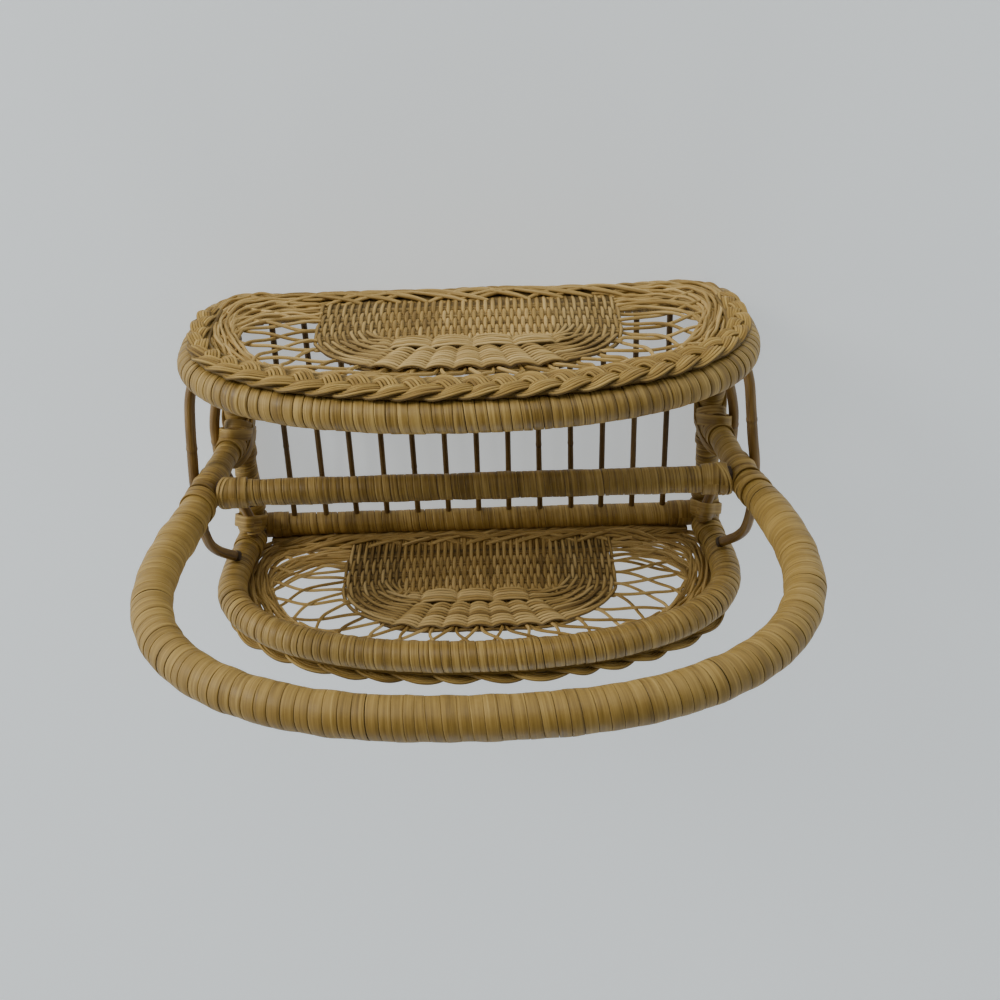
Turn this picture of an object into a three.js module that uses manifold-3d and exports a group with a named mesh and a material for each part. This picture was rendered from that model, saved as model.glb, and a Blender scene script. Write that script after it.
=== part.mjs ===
// Wicker magazine rack: a bent rattan frame wrapped in flat reed, two woven
// D-shaped sides, a slatted bottom and a hooped carrying handle.
// Millimetres, +Z up. The rack stands on its base bars; X runs along the rack,
// Y runs from the front side (-Y) to the rear side (+Y).
import * as THREE from 'three';
import { mergeVertices } from 'three/addons/utils/BufferGeometryUtils.js';
import Module from 'manifold-3d';

// ---- driving dimensions -------------------------------------------------
const WRAP = 1.0;            // thickness of the flat wrapping reed
const GAP = 0.3;             // clearance between pieces that touch
const R_LOW = 8.5;           // wrapped radius of the bottom frame, legs and ends
const Z_BASE = R_LOW;        // height of the bottom frame's centreline

const SIDE_Y = 91;           // each side frame's centreline, from the middle
const END_X = 170;           // end bars' centreline
const SPLIT_Y = 66;          // scarf between arch pole and end pole
const CORNER_R = 18;         // bend from end bar up into the arch

const ARCH_HALF = 176;       // arch half width at its belly
const ARCH_BELLY = 67;       // belly height above the base centreline
const ARCH_RISE = 159;       // crown height above the base centreline
const ARCH_EXP = 2.2;        // superellipse exponent of the arch
const ARCH_R = 10.5;         // wrapped radius at the crown

const BASE_Y = 88;           // base bars
const BASE_END = 161;        // base bars' half length

const SLATS = 13;
const SLAT_PITCH = 23;
const SLAT_R = 2.1;
const SLAT_SOCKET = 5;       // depth of each slat's blind hole in the base bar

const CROSS_Z = 101;         // crossbar between the handle legs
const CROSS_R = 9.1;

const HANDLE_HALF = 194;     // handle half width at its belly
const HANDLE_BELLY = 186;    // belly height above the base centreline
const HANDLE_RISE = 323;     // crown height above the base centreline
const HANDLE_EXP = 2.37;
const HANDLE_R = 12.3;       // wrapped radius of the hoop
const HIP_X = 179.5;         // handle leg at the crossbar
const FOOT_X = 167.8;        // handle leg at its foot
const FOOT_Z = 18.8;

const BOW_R = 3.7;           // bent side bows
// half of each bow from beside the handle leg to the arch: out from the middle, along Y, height
const BOW_UPPER = [[190.2, 0, 81.2], [190.5, 20, 81], [190.5, 40, 79], [188.6, 57, 75.5], [185, 67, 70.5], [180, 73, 66], [174.8, 76.7, 62.5]];
const BOW_LOWER = [[184.7, 0, 31], [184.4, 13, 31], [180.4, 28, 31], [175.2, 44, 31], [170.6, 58, 31], [167.4, 69, 31], [165.8, 78.4, 31]];

const BRAID_IN = 12;         // braid centreline, inside the arch centreline
const BRAID_HALF = 13;       // half width of the braid
const BRAID_THICK = 10;
const FACE_Y = SIDE_Y + ARCH_R + 0.75;   // plane that the weave lies against
const BORDER_Y = 100.3;      // rolled border along the straight edge, beside the base bar
const BORDER_Z = 15.7;
const BORDER_R = 4.7;
const MAT_Y = 97.5;          // inner face of the mat
const MAT_THICK = 5;

const LATTICE_X = 109;       // first column of open diamonds
const LATTICE_PITCH = 15;
const LATTICE_HALF = 5.4;

const SIDES = 12;            // facets round a wrapped pole
const CORE_SIDES = 8;        // facets round the pole inside the wrap

// ---- helpers ------------------------------------------------------------
const wasm = await Module();
wasm.setup();

const smooth = (x) => { const t = Math.min(1, Math.max(0, x)); return t * t * (3 - 2 * t); };

// a path that an extrusion follows knot by knot
class KnotPath extends THREE.Curve {
  constructor(points) { super(); this.points = points; }
  getPoint(t, target = new THREE.Vector3()) {
    const n = this.points.length - 1;
    const i = Math.min(n - 1, Math.max(0, Math.floor(t * n)));
    return target.lerpVectors(this.points[i], this.points[i + 1], t * n - i);
  }
  getPointAt(u, target) { return this.getPoint(u, target); }
  getSpacedPoints() { return this.points.map((p) => p.clone()); }
  getTangentAt(u, target = new THREE.Vector3()) {
    const n = this.points.length - 1;
    const i = Math.round(u * n);
    const a = this.points[Math.max(0, i - 1)];
    const b = this.points[i];
    const c = this.points[Math.min(n, i + 1)];
    const d1 = b.clone().sub(a).normalize();
    const d2 = c.clone().sub(b).normalize();
    if (i === 0) return target.copy(d2);
    if (i === n) return target.copy(d1);
    return target.copy(d1.add(d2)).normalize();
  }
  getTangent(u, target) { return this.getTangentAt(u, target); }
}

// polygon whose flats lie at radius r, one of them facing each section axis
function ngon(r, sides = SIDES) {
  const rr = r / Math.cos(Math.PI / sides);
  return Array.from({ length: sides }, (_, i) => {
    const a = (i + 0.5) * 2 * Math.PI / sides;
    return new THREE.Vector2(rr * Math.cos(a), rr * Math.sin(a));
  });
}

// section swept along knots; radii gives each knot's scale, 1 by default
function sweep(points, outline, hole = null, scale = null) {
  const shape = new THREE.Shape(outline);
  if (hole) shape.holes.push(new THREE.Path(hole.slice().reverse()));
  const geometry = new THREE.ExtrudeGeometry(shape, {
    steps: points.length - 1, bevelEnabled: false, curveSegments: 1,
    extrudePath: new KnotPath(points),
  });
  if (scale) {
    const pos = geometry.attributes.position;
    const v = new THREE.Vector3();
    for (let i = 0; i < pos.count; i++) {
      v.fromBufferAttribute(pos, i);
      let best = 0, dist = Infinity;
      points.forEach((p, k) => { const d = p.distanceToSquared(v); if (d < dist) { dist = d; best = k; } });
      v.sub(points[best]).multiplyScalar(scale[best]).add(points[best]);
      pos.setXYZ(i, v.x, v.y, v.z);
    }
  }
  return weld(geometry);
}

function weld(geometry) {
  const g = geometry.clone();
  g.deleteAttribute('normal');
  g.deleteAttribute('uv');
  return mergeVertices(g, 1e-4);
}

function solid(geometry) {
  const g = weldIfNeeded(geometry);
  return new wasm.Manifold(new wasm.Mesh({
    numProp: 3,
    vertProperties: new Float32Array(g.attributes.position.array),
    triVerts: new Uint32Array(g.index.array),
  }));
}
function weldIfNeeded(geometry) {
  return geometry.index && !geometry.attributes.normal ? geometry : weld(geometry);
}
function geometryOf(manifold) {
  const mesh = manifold.getMesh();
  const pts = new Float32Array(mesh.numVert * 3);
  for (let i = 0; i < mesh.numVert; i++) {
    for (let k = 0; k < 3; k++) pts[3 * i + k] = mesh.vertProperties[i * mesh.numProp + k];
  }
  const g = new THREE.BufferGeometry();
  g.setAttribute('position', new THREE.BufferAttribute(pts, 3));
  g.setIndex(new THREE.BufferAttribute(new Uint32Array(mesh.triVerts), 1));
  return g;
}

const V = (x, y, z) => new THREE.Vector3(x, y, z);
const mirrored = (half) => [...half, ...half.slice(0, -1).reverse().map((p) => V(-p.x, p.y, p.z))];

// ---- materials ----------------------------------------------------------
const finish = {
  wrap: { color: 0xb5925a, roughness: 0.55 },
  pole: { color: 0xa9854f, roughness: 0.7 },
  slat: { color: 0x8f7747, roughness: 0.65 },
  bow: { color: 0x94794b, roughness: 0.6 },
  mat: { color: 0xb08d55, roughness: 0.7 },
  braid: { color: 0xb98d4b, roughness: 0.65 },
  binding: { color: 0xa8864f, roughness: 0.6 },
};

const rack = new THREE.Group();
function piece(name, geometry, kind) {
  const g = geometry.clone();
  g.computeVertexNormals();
  const mesh = new THREE.Mesh(g, new THREE.MeshStandardMaterial({ ...finish[kind], metalness: 0 }));
  mesh.name = name;
  rack.add(mesh);
  return mesh;
}

// a wrapped pole: the round core and the reed sleeve wound round it
function wrapped(name, points, radius, cutters = [], sockets = []) {
  const base = radius[0];
  const scale = radius.map((r) => r / base);
  let core = sweep(points, ngon(base - WRAP - GAP, CORE_SIDES), null, scale);
  let sleeve = sweep(points, ngon(base), ngon(base - WRAP, CORE_SIDES), scale);
  if (cutters.length || sockets.length) {
    let c = solid(core), s = solid(sleeve);
    for (const k of [...cutters, ...sockets]) { c = c.subtract(k); s = s.subtract(k); }
    core = geometryOf(largest(c));
    sleeve = geometryOf(largest(s));
  }
  piece(`${name}_pole`, core, 'pole');
  piece(`${name}_wrap`, sleeve, 'wrap');
}
function largest(m) {
  const parts = m.decompose();
  return parts.reduce((a, b) => (b.volume() > a.volume() ? b : a));
}
const tubeSolid = (points, radius, extra = 0) =>
  solid(sweep(points, ngon(radius[0] + extra), null, radius.map((r) => (r + extra) / (radius[0] + extra))));

// ---- frame --------------------------------------------------------------
const archRadius = (z) => R_LOW + (ARCH_R - R_LOW) * smooth((z - Z_BASE) / 60);

// left half of an arch, from its scarf on the end bar to the crown
function archHalf(y) {
  const s = Math.sign(y);
  const pts = [V(-END_X, s * (SPLIT_Y + GAP / 2), Z_BASE)];
  for (let i = 0; i <= 4; i++) {
    const a = (i / 4) * Math.PI / 2;
    pts.push(V(-END_X, s * (Math.abs(y) - CORNER_R + CORNER_R * Math.sin(a)), Z_BASE + CORNER_R * (1 - Math.cos(a))));
  }
  return [...pts, ...archCurve(y, Z_BASE + CORNER_R, 2, 9)];
}
function archCurve(y, zFrom, sideSteps, roundSteps) {
  const zb = Z_BASE + ARCH_BELLY;
  const pts = [];
  for (let i = 1; i <= sideSteps; i++) {
    const z = zFrom + (zb - zFrom) * i / sideSteps;
    const t = (zb - z) / (zb - Z_BASE - CORNER_R);
    pts.push(V(-(ARCH_HALF - (ARCH_HALF - END_X) * t * t), y, z));
  }
  for (let i = 1; i <= roundSteps; i++) {
    const u = (1 - i / roundSteps) * Math.PI / 2;
    pts.push(V(-ARCH_HALF * Math.pow(Math.sin(u), 2 / ARCH_EXP), y,
      zb + (ARCH_RISE - ARCH_BELLY) * Math.pow(Math.cos(u), 2 / ARCH_EXP)));
  }
  pts[pts.length - 1].x = 0;
  return pts;
}

for (const [name, y] of [['front_arch', -SIDE_Y], ['rear_arch', SIDE_Y]]) {
  const pts = mirrored(archHalf(y));
  wrapped(name, pts, pts.map((p) => archRadius(p.z)));
}
for (const [name, x] of [['left_end', -END_X], ['right_end', END_X]]) {
  const pts = [V(x, -SPLIT_Y + GAP / 2, Z_BASE), V(x, SPLIT_Y - GAP / 2, Z_BASE)];
  wrapped(name, pts, [R_LOW, R_LOW]);
}

// ---- slats and the base bars that hold them -----------------------------
const slatX = Array.from({ length: SLATS }, (_, i) => (i - (SLATS - 1) / 2) * SLAT_PITCH);
const slatEnd = BASE_Y - R_LOW + SLAT_SOCKET;
slatX.forEach((x, i) => {
  piece(`slat_${String(i + 1).padStart(2, '0')}`,
    sweep([V(x, -slatEnd, Z_BASE), V(x, slatEnd, Z_BASE)], ngon(SLAT_R, 8)), 'slat');
});
for (const [name, s] of [['front_base', -1], ['rear_base', 1]]) {
  const pts = [V(-BASE_END, s * BASE_Y, Z_BASE), V(BASE_END, s * BASE_Y, Z_BASE)];
  const sockets = slatX.map((x) => solid(sweep(
    [V(x, s * (BASE_Y - R_LOW - 4), Z_BASE), V(x, s * (slatEnd + GAP), Z_BASE)], ngon(SLAT_R + GAP, 8))));
  wrapped(name, pts, [R_LOW, R_LOW], [], sockets);
}

// ---- handle and crossbar ------------------------------------------------
const LEAN = (HIP_X - FOOT_X) / (CROSS_Z - FOOT_Z);
function handleHalf() {
  const zb = Z_BASE + HANDLE_BELLY;
  const pts = [];
  for (const z of [FOOT_Z, 46, 74, CROSS_Z]) pts.push(V(-(FOOT_X + LEAN * (z - FOOT_Z)), 0, z));
  const L = zb - CROSS_Z;
  for (let i = 1; i <= 5; i++) {
    const s = i / 5;
    const h00 = 2 * s ** 3 - 3 * s ** 2 + 1, h10 = s ** 3 - 2 * s ** 2 + s, h01 = -2 * s ** 3 + 3 * s ** 2;
    pts.push(V(-(h00 * HIP_X + h10 * LEAN * L + h01 * HANDLE_HALF), 0, CROSS_Z + L * s));
  }
  for (let i = 1; i <= 10; i++) {
    const u = (1 - i / 10) * Math.PI / 2;
    pts.push(V(-HANDLE_HALF * Math.pow(Math.sin(u), 2 / HANDLE_EXP), 0,
      zb + (HANDLE_RISE - HANDLE_BELLY) * Math.pow(Math.cos(u), 2 / HANDLE_EXP)));
  }
  pts[pts.length - 1].x = 0;
  return pts;
}
const handlePts = mirrored(handleHalf());
const handleRadius = handlePts.map((p) => R_LOW + (HANDLE_R - R_LOW) * smooth((p.z - 85) / 70));
wrapped('handle', handlePts, handleRadius);

const crossPts = [V(-HIP_X + 5, 0, CROSS_Z), V(HIP_X - 5, 0, CROSS_Z)];
const legSolid = tubeSolid(handlePts, handleRadius, GAP);
wrapped('crossbar', crossPts, [CROSS_R, CROSS_R], [legSolid]);

// ---- side bows ----------------------------------------------------------
function bow(name, side, half) {
  const rear = half.map(([x, y, z]) => V(side * x, y, z));
  const front = half.slice(1).reverse().map(([x, y, z]) => V(side * x, -y, z));
  piece(name, sweep([...front, ...rear], ngon(BOW_R, 8)), 'bow');
}
for (const [name, side] of [['left', -1], ['right', 1]]) {
  bow(`${name}_upper_bow`, side, BOW_UPPER);
  bow(`${name}_lower_bow`, side, BOW_LOWER);
}

// ---- woven sides --------------------------------------------------------
function offsetIn(points, d) {
  return points.map((p, i) => {
    const a = points[Math.max(0, i - 1)], b = points[Math.min(points.length - 1, i + 1)];
    const t = b.clone().sub(a).normalize();
    // the curve runs from left over the crown to the right, so inside is to its right
    return V(p.x + t.z * d, p.y, p.z - t.x * d);
  });
}
const braidSection = [[5, 3.5], [4, 9.5], [0, 13], [-4, 9.5], [-5, 3.5], [-5, -3.5], [-4, -9.5], [0, -13], [4, -9.5], [5, -3.5]]
  .map(([t, w]) => new THREE.Vector2(t * BRAID_THICK / 10, w * BRAID_HALF / 13));

for (const [name, s] of [['front', -1], ['rear', 1]]) {
  // braid along the curve
  const yb = s * (FACE_Y + BRAID_THICK / 2);
  const full = mirrored([V(-END_X - 0.4, yb, Z_BASE + 24), ...archCurve(yb, Z_BASE + 24, 2, 9)]);
  piece(`${name}_braid`, sweep(offsetIn(full, BRAID_IN), braidSection), 'braid');

  // rolled border along the straight edge; it lifts over the corner lashings
  const roll = [[158, 2.3, 2], [147, 2.3, 2], [138, 0, 0]];
  piece(`${name}_border_roll`, sweep([
    ...roll.map(([x, dy, dz]) => V(-x, s * (BORDER_Y + dy), BORDER_Z + dz)),
    ...roll.slice().reverse().map(([x, dy, dz]) => V(x, s * (BORDER_Y + dy), BORDER_Z + dz)),
  ], ngon(BORDER_R, 8)), 'braid');

  // mat, open where the stakes cross as a lattice
  const inner = offsetIn(full, BRAID_IN + BRAID_HALF + 0.5);
  const zLow = BORDER_Z + BORDER_R + 2.7;
  const rim = inner.filter((p) => p.z > zLow + 4).map((p) => new THREE.Vector2(p.x, p.z));
  const outline = [new THREE.Vector2(rim[0].x, zLow), ...rim, new THREE.Vector2(rim[rim.length - 1].x, zLow)];
  const shape = new THREE.Shape(outline.slice().reverse());
  const clear = (x, z) => rim.every((p) => Math.hypot(p.x - x, p.y - z) > LATTICE_HALF + 4)
    && rim.some((p, i) => i && Math.abs(x) < Math.abs(p.x) && p.y > z);
  const insideRim = (x, z) => {
    for (let i = 1; i < rim.length; i++) {
      const a = rim[i - 1], b = rim[i];
      const cross = (b.x - a.x) * (z - a.y) - (b.y - a.y) * (x - a.x);
      if (cross / Math.hypot(b.x - a.x, b.y - a.y) > -(LATTICE_HALF + 3)) return false;
    }
    return true;
  };
  for (let i = 0; i < 6; i++) {
    for (let j = 0; j < 12; j++) {
      if ((i + j) % 2) continue;
      const x = LATTICE_X + i * LATTICE_PITCH / 2;
      const z = 62 + j * LATTICE_PITCH / 2;
      if (z > 140 || !insideRim(x, z) || !clear(x, z)) continue;
      for (const m of [-1, 1]) {
        shape.holes.push(new THREE.Path([[1, 0], [0, 1], [-1, 0], [0, -1]]
          .map(([u, w]) => new THREE.Vector2(m * x + u * LATTICE_HALF, z + w * LATTICE_HALF))));
      }
    }
  }
  const plate = new THREE.ExtrudeGeometry(shape, { depth: MAT_THICK, bevelEnabled: false, curveSegments: 1 });
  plate.rotateX(Math.PI / 2);
  plate.translate(0, s > 0 ? MAT_Y + MAT_THICK : -MAT_Y, 0);
  piece(`${name}_mat`, weld(plate), 'mat');
}

// ---- lashings at the joints ---------------------------------------------
const LASH = 1.5;
const above = (z) => {
  const g = new THREE.BoxGeometry(600, 400, 600);
  g.translate(0, 0, z + 300);
  return solid(g);
};
const endTube = (x, extra, half) => tubeSolid([V(x, -half, Z_BASE), V(x, half, Z_BASE)], [R_LOW, R_LOW], extra);
const crossTube = (extra, x1, x2) => tubeSolid([V(x1, 0, CROSS_Z), V(x2, 0, CROSS_Z)], [CROSS_R, CROSS_R], extra);
const legAt = (side, z) => V(side * (FOOT_X + LEAN * (z - FOOT_Z)), 0, z);
const legCollar = (side, z1, z2) => tubeSolid([legAt(side, z1), legAt(side, z2)], [R_LOW, R_LOW], GAP + LASH + 0.25);
const legHole = (side) => tubeSolid([legAt(side, 2), legAt(side, 60)], [R_LOW, R_LOW], GAP);

for (const [name, side] of [['left', -1], ['right', 1]]) {
  // handle foot, lashed to the end bar
  const foot = legCollar(side, 8, 43).add(endTube(side * END_X, GAP + LASH, 15))
    .subtract(legHole(side)).subtract(endTube(side * END_X, GAP, 40)).intersect(above(1.5));
  piece(`${name}_foot_lashing`, geometryOf(largest(foot)), 'binding');
  // crossbar end, lashed to the leg
  const a = side > 0 ? [154, 176] : [-176, -154];
  const joint = legCollar(side, 87, 114).add(crossTube(GAP + LASH, a[0], a[1]))
    .subtract(legSolid).subtract(crossTube(GAP, Math.min(side * 100, side * 178), Math.max(side * 100, side * 178)));
  piece(`${name}_crossbar_lashing`, geometryOf(largest(joint)), 'binding');
  // base bars' ends
  for (const [edge, s] of [['front', -1], ['rear', 1]]) {
    const x1 = side * 146, x2 = side * 160.6;
    const line = [V(Math.min(x1, x2), s * BASE_Y, Z_BASE), V(Math.max(x1, x2), s * BASE_Y, Z_BASE)];
    const ring = tubeSolid(line, [R_LOW, R_LOW], GAP + LASH)
      .subtract(tubeSolid([V(-BASE_END - 5, s * BASE_Y, Z_BASE), V(BASE_END + 5, s * BASE_Y, Z_BASE)], [R_LOW, R_LOW], GAP))
      .intersect(above(1.5));
    piece(`${edge}_${name}_corner_lashing`, geometryOf(largest(ring)), 'binding');
  }
}

export default rack;
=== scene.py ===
import math

import bpy
import numpy as np
from mathutils import Matrix


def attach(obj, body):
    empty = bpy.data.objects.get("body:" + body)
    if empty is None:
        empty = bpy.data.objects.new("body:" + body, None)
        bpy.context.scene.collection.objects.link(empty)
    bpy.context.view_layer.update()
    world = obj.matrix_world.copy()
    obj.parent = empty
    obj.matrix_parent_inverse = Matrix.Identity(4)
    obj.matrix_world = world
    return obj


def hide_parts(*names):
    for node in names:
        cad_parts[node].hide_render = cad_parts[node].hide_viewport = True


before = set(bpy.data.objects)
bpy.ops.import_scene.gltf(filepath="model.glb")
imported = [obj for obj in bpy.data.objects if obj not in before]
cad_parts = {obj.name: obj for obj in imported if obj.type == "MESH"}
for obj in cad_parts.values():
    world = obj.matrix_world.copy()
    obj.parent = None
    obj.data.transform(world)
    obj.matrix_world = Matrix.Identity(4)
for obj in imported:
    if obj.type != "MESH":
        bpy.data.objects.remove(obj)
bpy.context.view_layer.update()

MM = 0.001
TAU = 2 * math.pi

# ---- dimensions shared with the CAD model --------------------------------
R_LOW, Z_BASE = 8.5, 8.5
SIDE_Y, END_X, SPLIT_Y, CORNER_R = 91.0, 170.0, 66.0, 18.0
ARCH_HALF, ARCH_BELLY, ARCH_RISE, ARCH_EXP, ARCH_R = 176.0, 67.0, 159.0, 2.2, 10.5
BASE_Y, BASE_END = 88.0, 161.0
SLATS, SLAT_PITCH, SLAT_R = 13, 23.0, 2.1
CROSS_Z, CROSS_R = 101.0, 9.1
HANDLE_HALF, HANDLE_BELLY, HANDLE_RISE, HANDLE_EXP, HANDLE_R = 194.0, 186.0, 323.0, 2.37, 12.3
HIP_X, FOOT_X, FOOT_Z = 179.5, 167.8, 18.8
LEAN = (HIP_X - FOOT_X) / (CROSS_Z - FOOT_Z)
BOW_R = 3.7
FACE_Y = SIDE_Y + ARCH_R + 0.75
WRAP = 1.0


# ---- small maths ----------------------------------------------------------
def unit(v):
    return v / np.maximum(np.linalg.norm(v, axis=-1, keepdims=True), 1e-12)


def smooth(x):
    t = np.clip(x, 0, 1)
    return t * t * (3 - 2 * t)


def resample(points, step):
    p = np.asarray(points, float)
    d = np.linalg.norm(np.diff(p, axis=0), axis=1)
    p = p[np.concatenate([[True], d > 1e-7])]
    s = np.concatenate([[0], np.cumsum(np.linalg.norm(np.diff(p, axis=0), axis=1))])
    n = max(3, int(round(s[-1] / step)) + 1)
    t = np.linspace(0, s[-1], n)
    return np.stack([np.interp(t, s, p[:, k]) for k in range(p.shape[1])], 1), t


def spline(ctrl, step=1.2):
    """Catmull-Rom curve through the control points, evenly sampled."""
    c = np.asarray(ctrl, float)
    c = np.vstack([2 * c[0] - c[1], c, 2 * c[-1] - c[-2]])
    out = []
    for i in range(1, len(c) - 2):
        t = np.linspace(0, 1, 17)[:-1, None]
        a, b, d, e = c[i - 1], c[i], c[i + 1], c[i + 2]
        out.append(0.5 * (2 * b + (d - a) * t + (2 * a - 5 * b + 4 * d - e) * t ** 2
                          + (3 * b - a - 3 * d + e) * t ** 3))
    out.append(c[-2][None])
    return resample(np.vstack(out), step)[0]


def relax(p, passes):
    p = p.copy()
    for _ in range(passes):
        p[1:-1] += 0.5 * (0.5 * (p[:-2] + p[2:]) - p[1:-1])
    return p


class Wave:
    """Smooth seeded noise along a length, about +-1."""

    def __init__(self, seed, period, parts=5):
        g = np.random.default_rng(seed)
        self.f = TAU / (period * g.uniform(0.55, 1.9, parts))
        self.p = g.uniform(0, TAU, parts)
        self.a = g.uniform(0.5, 1.0, parts)
        self.a /= self.a.sum() * 0.62

    def __call__(self, s):
        s = np.asarray(s, float)[..., None]
        return (self.a * np.sin(s * self.f + self.p)).sum(-1)


def tangents(p, closed=False):
    if closed:
        return unit(np.roll(p, -1, 0) - np.roll(p, 1, 0))
    return unit(np.gradient(p, axis=0))


def transport(p):
    t = tangents(p)
    n = np.zeros_like(p)
    ref = np.array([0.0, 0, 1]) if abs(t[0, 2]) < 0.8 else np.array([0.0, 1, 0])
    n[0] = unit(ref - t[0] * (ref @ t[0]))
    for i in range(1, len(p)):
        v = n[i - 1] - t[i] * (n[i - 1] @ t[i])
        n[i] = v / np.linalg.norm(v)
    return t, n, np.cross(t, n)


def ease(s, knots, values):
    """Cosine steps between knots."""
    knots, values = np.asarray(knots, float), np.asarray(values, float)
    i = np.clip(np.searchsorted(knots, s) - 1, 0, len(knots) - 2)
    u = np.clip((s - knots[i]) / np.maximum(knots[i + 1] - knots[i], 1e-9), 0, 1)
    u = 0.5 - 0.5 * np.cos(math.pi * u)
    return values[i] * (1 - u) + values[i + 1] * u


# ---- mesh collecting ------------------------------------------------------
class Body:
    """Closed strands gathered into one mesh, with grain coordinates in millimetres."""

    def __init__(self):
        self.v, self.q, self.t, self.grain, self.tone, self.shade, self.n = [], [], [], [], [], [], 0

    def add(self, verts, quads, tris, grain, tone, shade):
        self.v.append(verts)
        self.q.append(quads + self.n)
        if len(tris):
            self.t.append(tris + self.n)
        self.grain.append(grain)
        self.tone.append(np.broadcast_to(tone, (len(verts),)))
        self.shade.append(np.broadcast_to(shade, (len(verts),)))
        self.n += len(verts)

    def tube(self, p, r, sides=8, tone=0.0, seed=0, shade=0.0, up=None, flat=1.0, cap=True, groove_shade=0.0):
        """Round or oval reed along p. flat squeezes it along up."""
        p = np.asarray(p, float)
        n = len(p)
        if up is None:
            t, a, b = transport(p)
        else:
            t = tangents(p)
            a = np.broadcast_to(np.asarray(up, float), p.shape)
            a = unit(a - t * (a * t).sum(-1, keepdims=True))
            b = np.cross(t, a)
        r = np.broadcast_to(r, (n,))
        ang = np.arange(sides) / sides * TAU
        ca, sa = np.cos(ang), np.sin(ang)
        ring = (p[:, None] + (r[:, None] * ca * flat)[..., None] * a[:, None]
                + (r[:, None] * sa)[..., None] * b[:, None])
        s = np.concatenate([[0], np.cumsum(np.linalg.norm(np.diff(p, axis=0), axis=1))])
        g = np.stack([np.broadcast_to(r[:, None] * ca, (n, sides)) + seed * 17.3,
                      np.broadcast_to(r[:, None] * sa, (n, sides)) + seed * 5.1,
                      np.broadcast_to(s[:, None], (n, sides))], -1).reshape(-1, 3)
        verts = ring.reshape(-1, 3)
        tone = np.repeat(np.broadcast_to(tone, (n,)), sides)
        # painted shade: groove_shade darkens the reed's sides, where it lies against its neighbours
        shade = np.clip(np.broadcast_to(shade, (n,))[:, None] + groove_shade * np.abs(sa)[None] ** 3, 0, 1).reshape(-1)
        i, m = np.meshgrid(np.arange(n - 1), np.arange(sides), indexing="ij")
        m2 = (m + 1) % sides
        quads = np.stack([i * sides + m, i * sides + m2, (i + 1) * sides + m2, (i + 1) * sides + m], -1).reshape(-1, 4)
        tris = np.zeros((0, 3), int)
        if cap:
            k = np.arange(sides)
            verts = np.vstack([verts, p[0] - t[0] * r[0] * 0.25, p[-1] + t[-1] * r[-1] * 0.25])
            g = np.vstack([g, g[:1], g[-1:]])
            tone = np.concatenate([tone, tone[:1], tone[-1:]])
            shade = np.concatenate([shade, [0.5, 0.5]])
            e = (n - 1) * sides
            tris = np.vstack([np.stack([np.full(sides, n * sides), (k + 1) % sides, k], -1),
                              np.stack([np.full(sides, n * sides + 1), e + k, e + (k + 1) % sides], -1)])
        self.add(verts, quads, tris, g, tone, shade)


TOP = np.array([-.5, -.487, -.44, -.25, 0, .25, .44, .487, .5])
TOP_H = np.array([.35, .76, .95, 1, 1, 1, .95, .76, .35])
BOT = np.array([.4, -.4])
SECTION_A = np.concatenate([TOP, BOT])
SECTION_H = np.concatenate([TOP_H, [0.0, 0.0]])
# painted shade across a ribbon's section: darker at its rounded edges and on the sides and underside
SECTION_PAINTED_SHADE = np.array([1, .62, .06, 0, 0, 0, .06, .62, 1, 1, 1.0])


def ribbon_mesh(body, pts, grain, tone, shade, closed, edge=1.0):
    """pts is columns x section x 3; the section runs across the top and back underneath."""
    n, m = pts.shape[:2]
    cols = n if closed else n - 1
    j, k = np.meshgrid(np.arange(cols), np.arange(m), indexing="ij")
    j2, k2 = (j + 1) % n, (k + 1) % m
    quads = np.stack([j * m + k, j2 * m + k, j2 * m + k2, j * m + k2], -1).reshape(-1, 4)
    verts, g = pts.reshape(-1, 3), grain.reshape(-1, 3)
    tone = np.repeat(np.broadcast_to(tone, (n,)), m)
    # painted shade: the shade value plus each column's edge weight times the section's shade
    shade = np.clip(np.broadcast_to(shade, (n,))[:, None] + np.broadcast_to(edge, (n,))[:, None] * SECTION_PAINTED_SHADE[None],
                    0, 1).reshape(-1)
    tris = np.zeros((0, 3), int)
    if not closed:
        r = np.arange(m)
        verts = np.vstack([verts, pts[0].mean(0), pts[-1].mean(0)])
        g = np.vstack([g, g[:1], g[-1:]])
        tone = np.concatenate([tone, tone[:1], tone[-1:]])
        shade = np.concatenate([shade, [1.0, 1.0]])
        e = (n - 1) * m
        tris = np.vstack([np.stack([np.full(m, n * m), r, (r + 1) % m], -1),
                          np.stack([np.full(m, n * m + 1), e + (r + 1) % m, e + r], -1)])
    body.add(verts, quads, tris, g, tone, shade)


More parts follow.
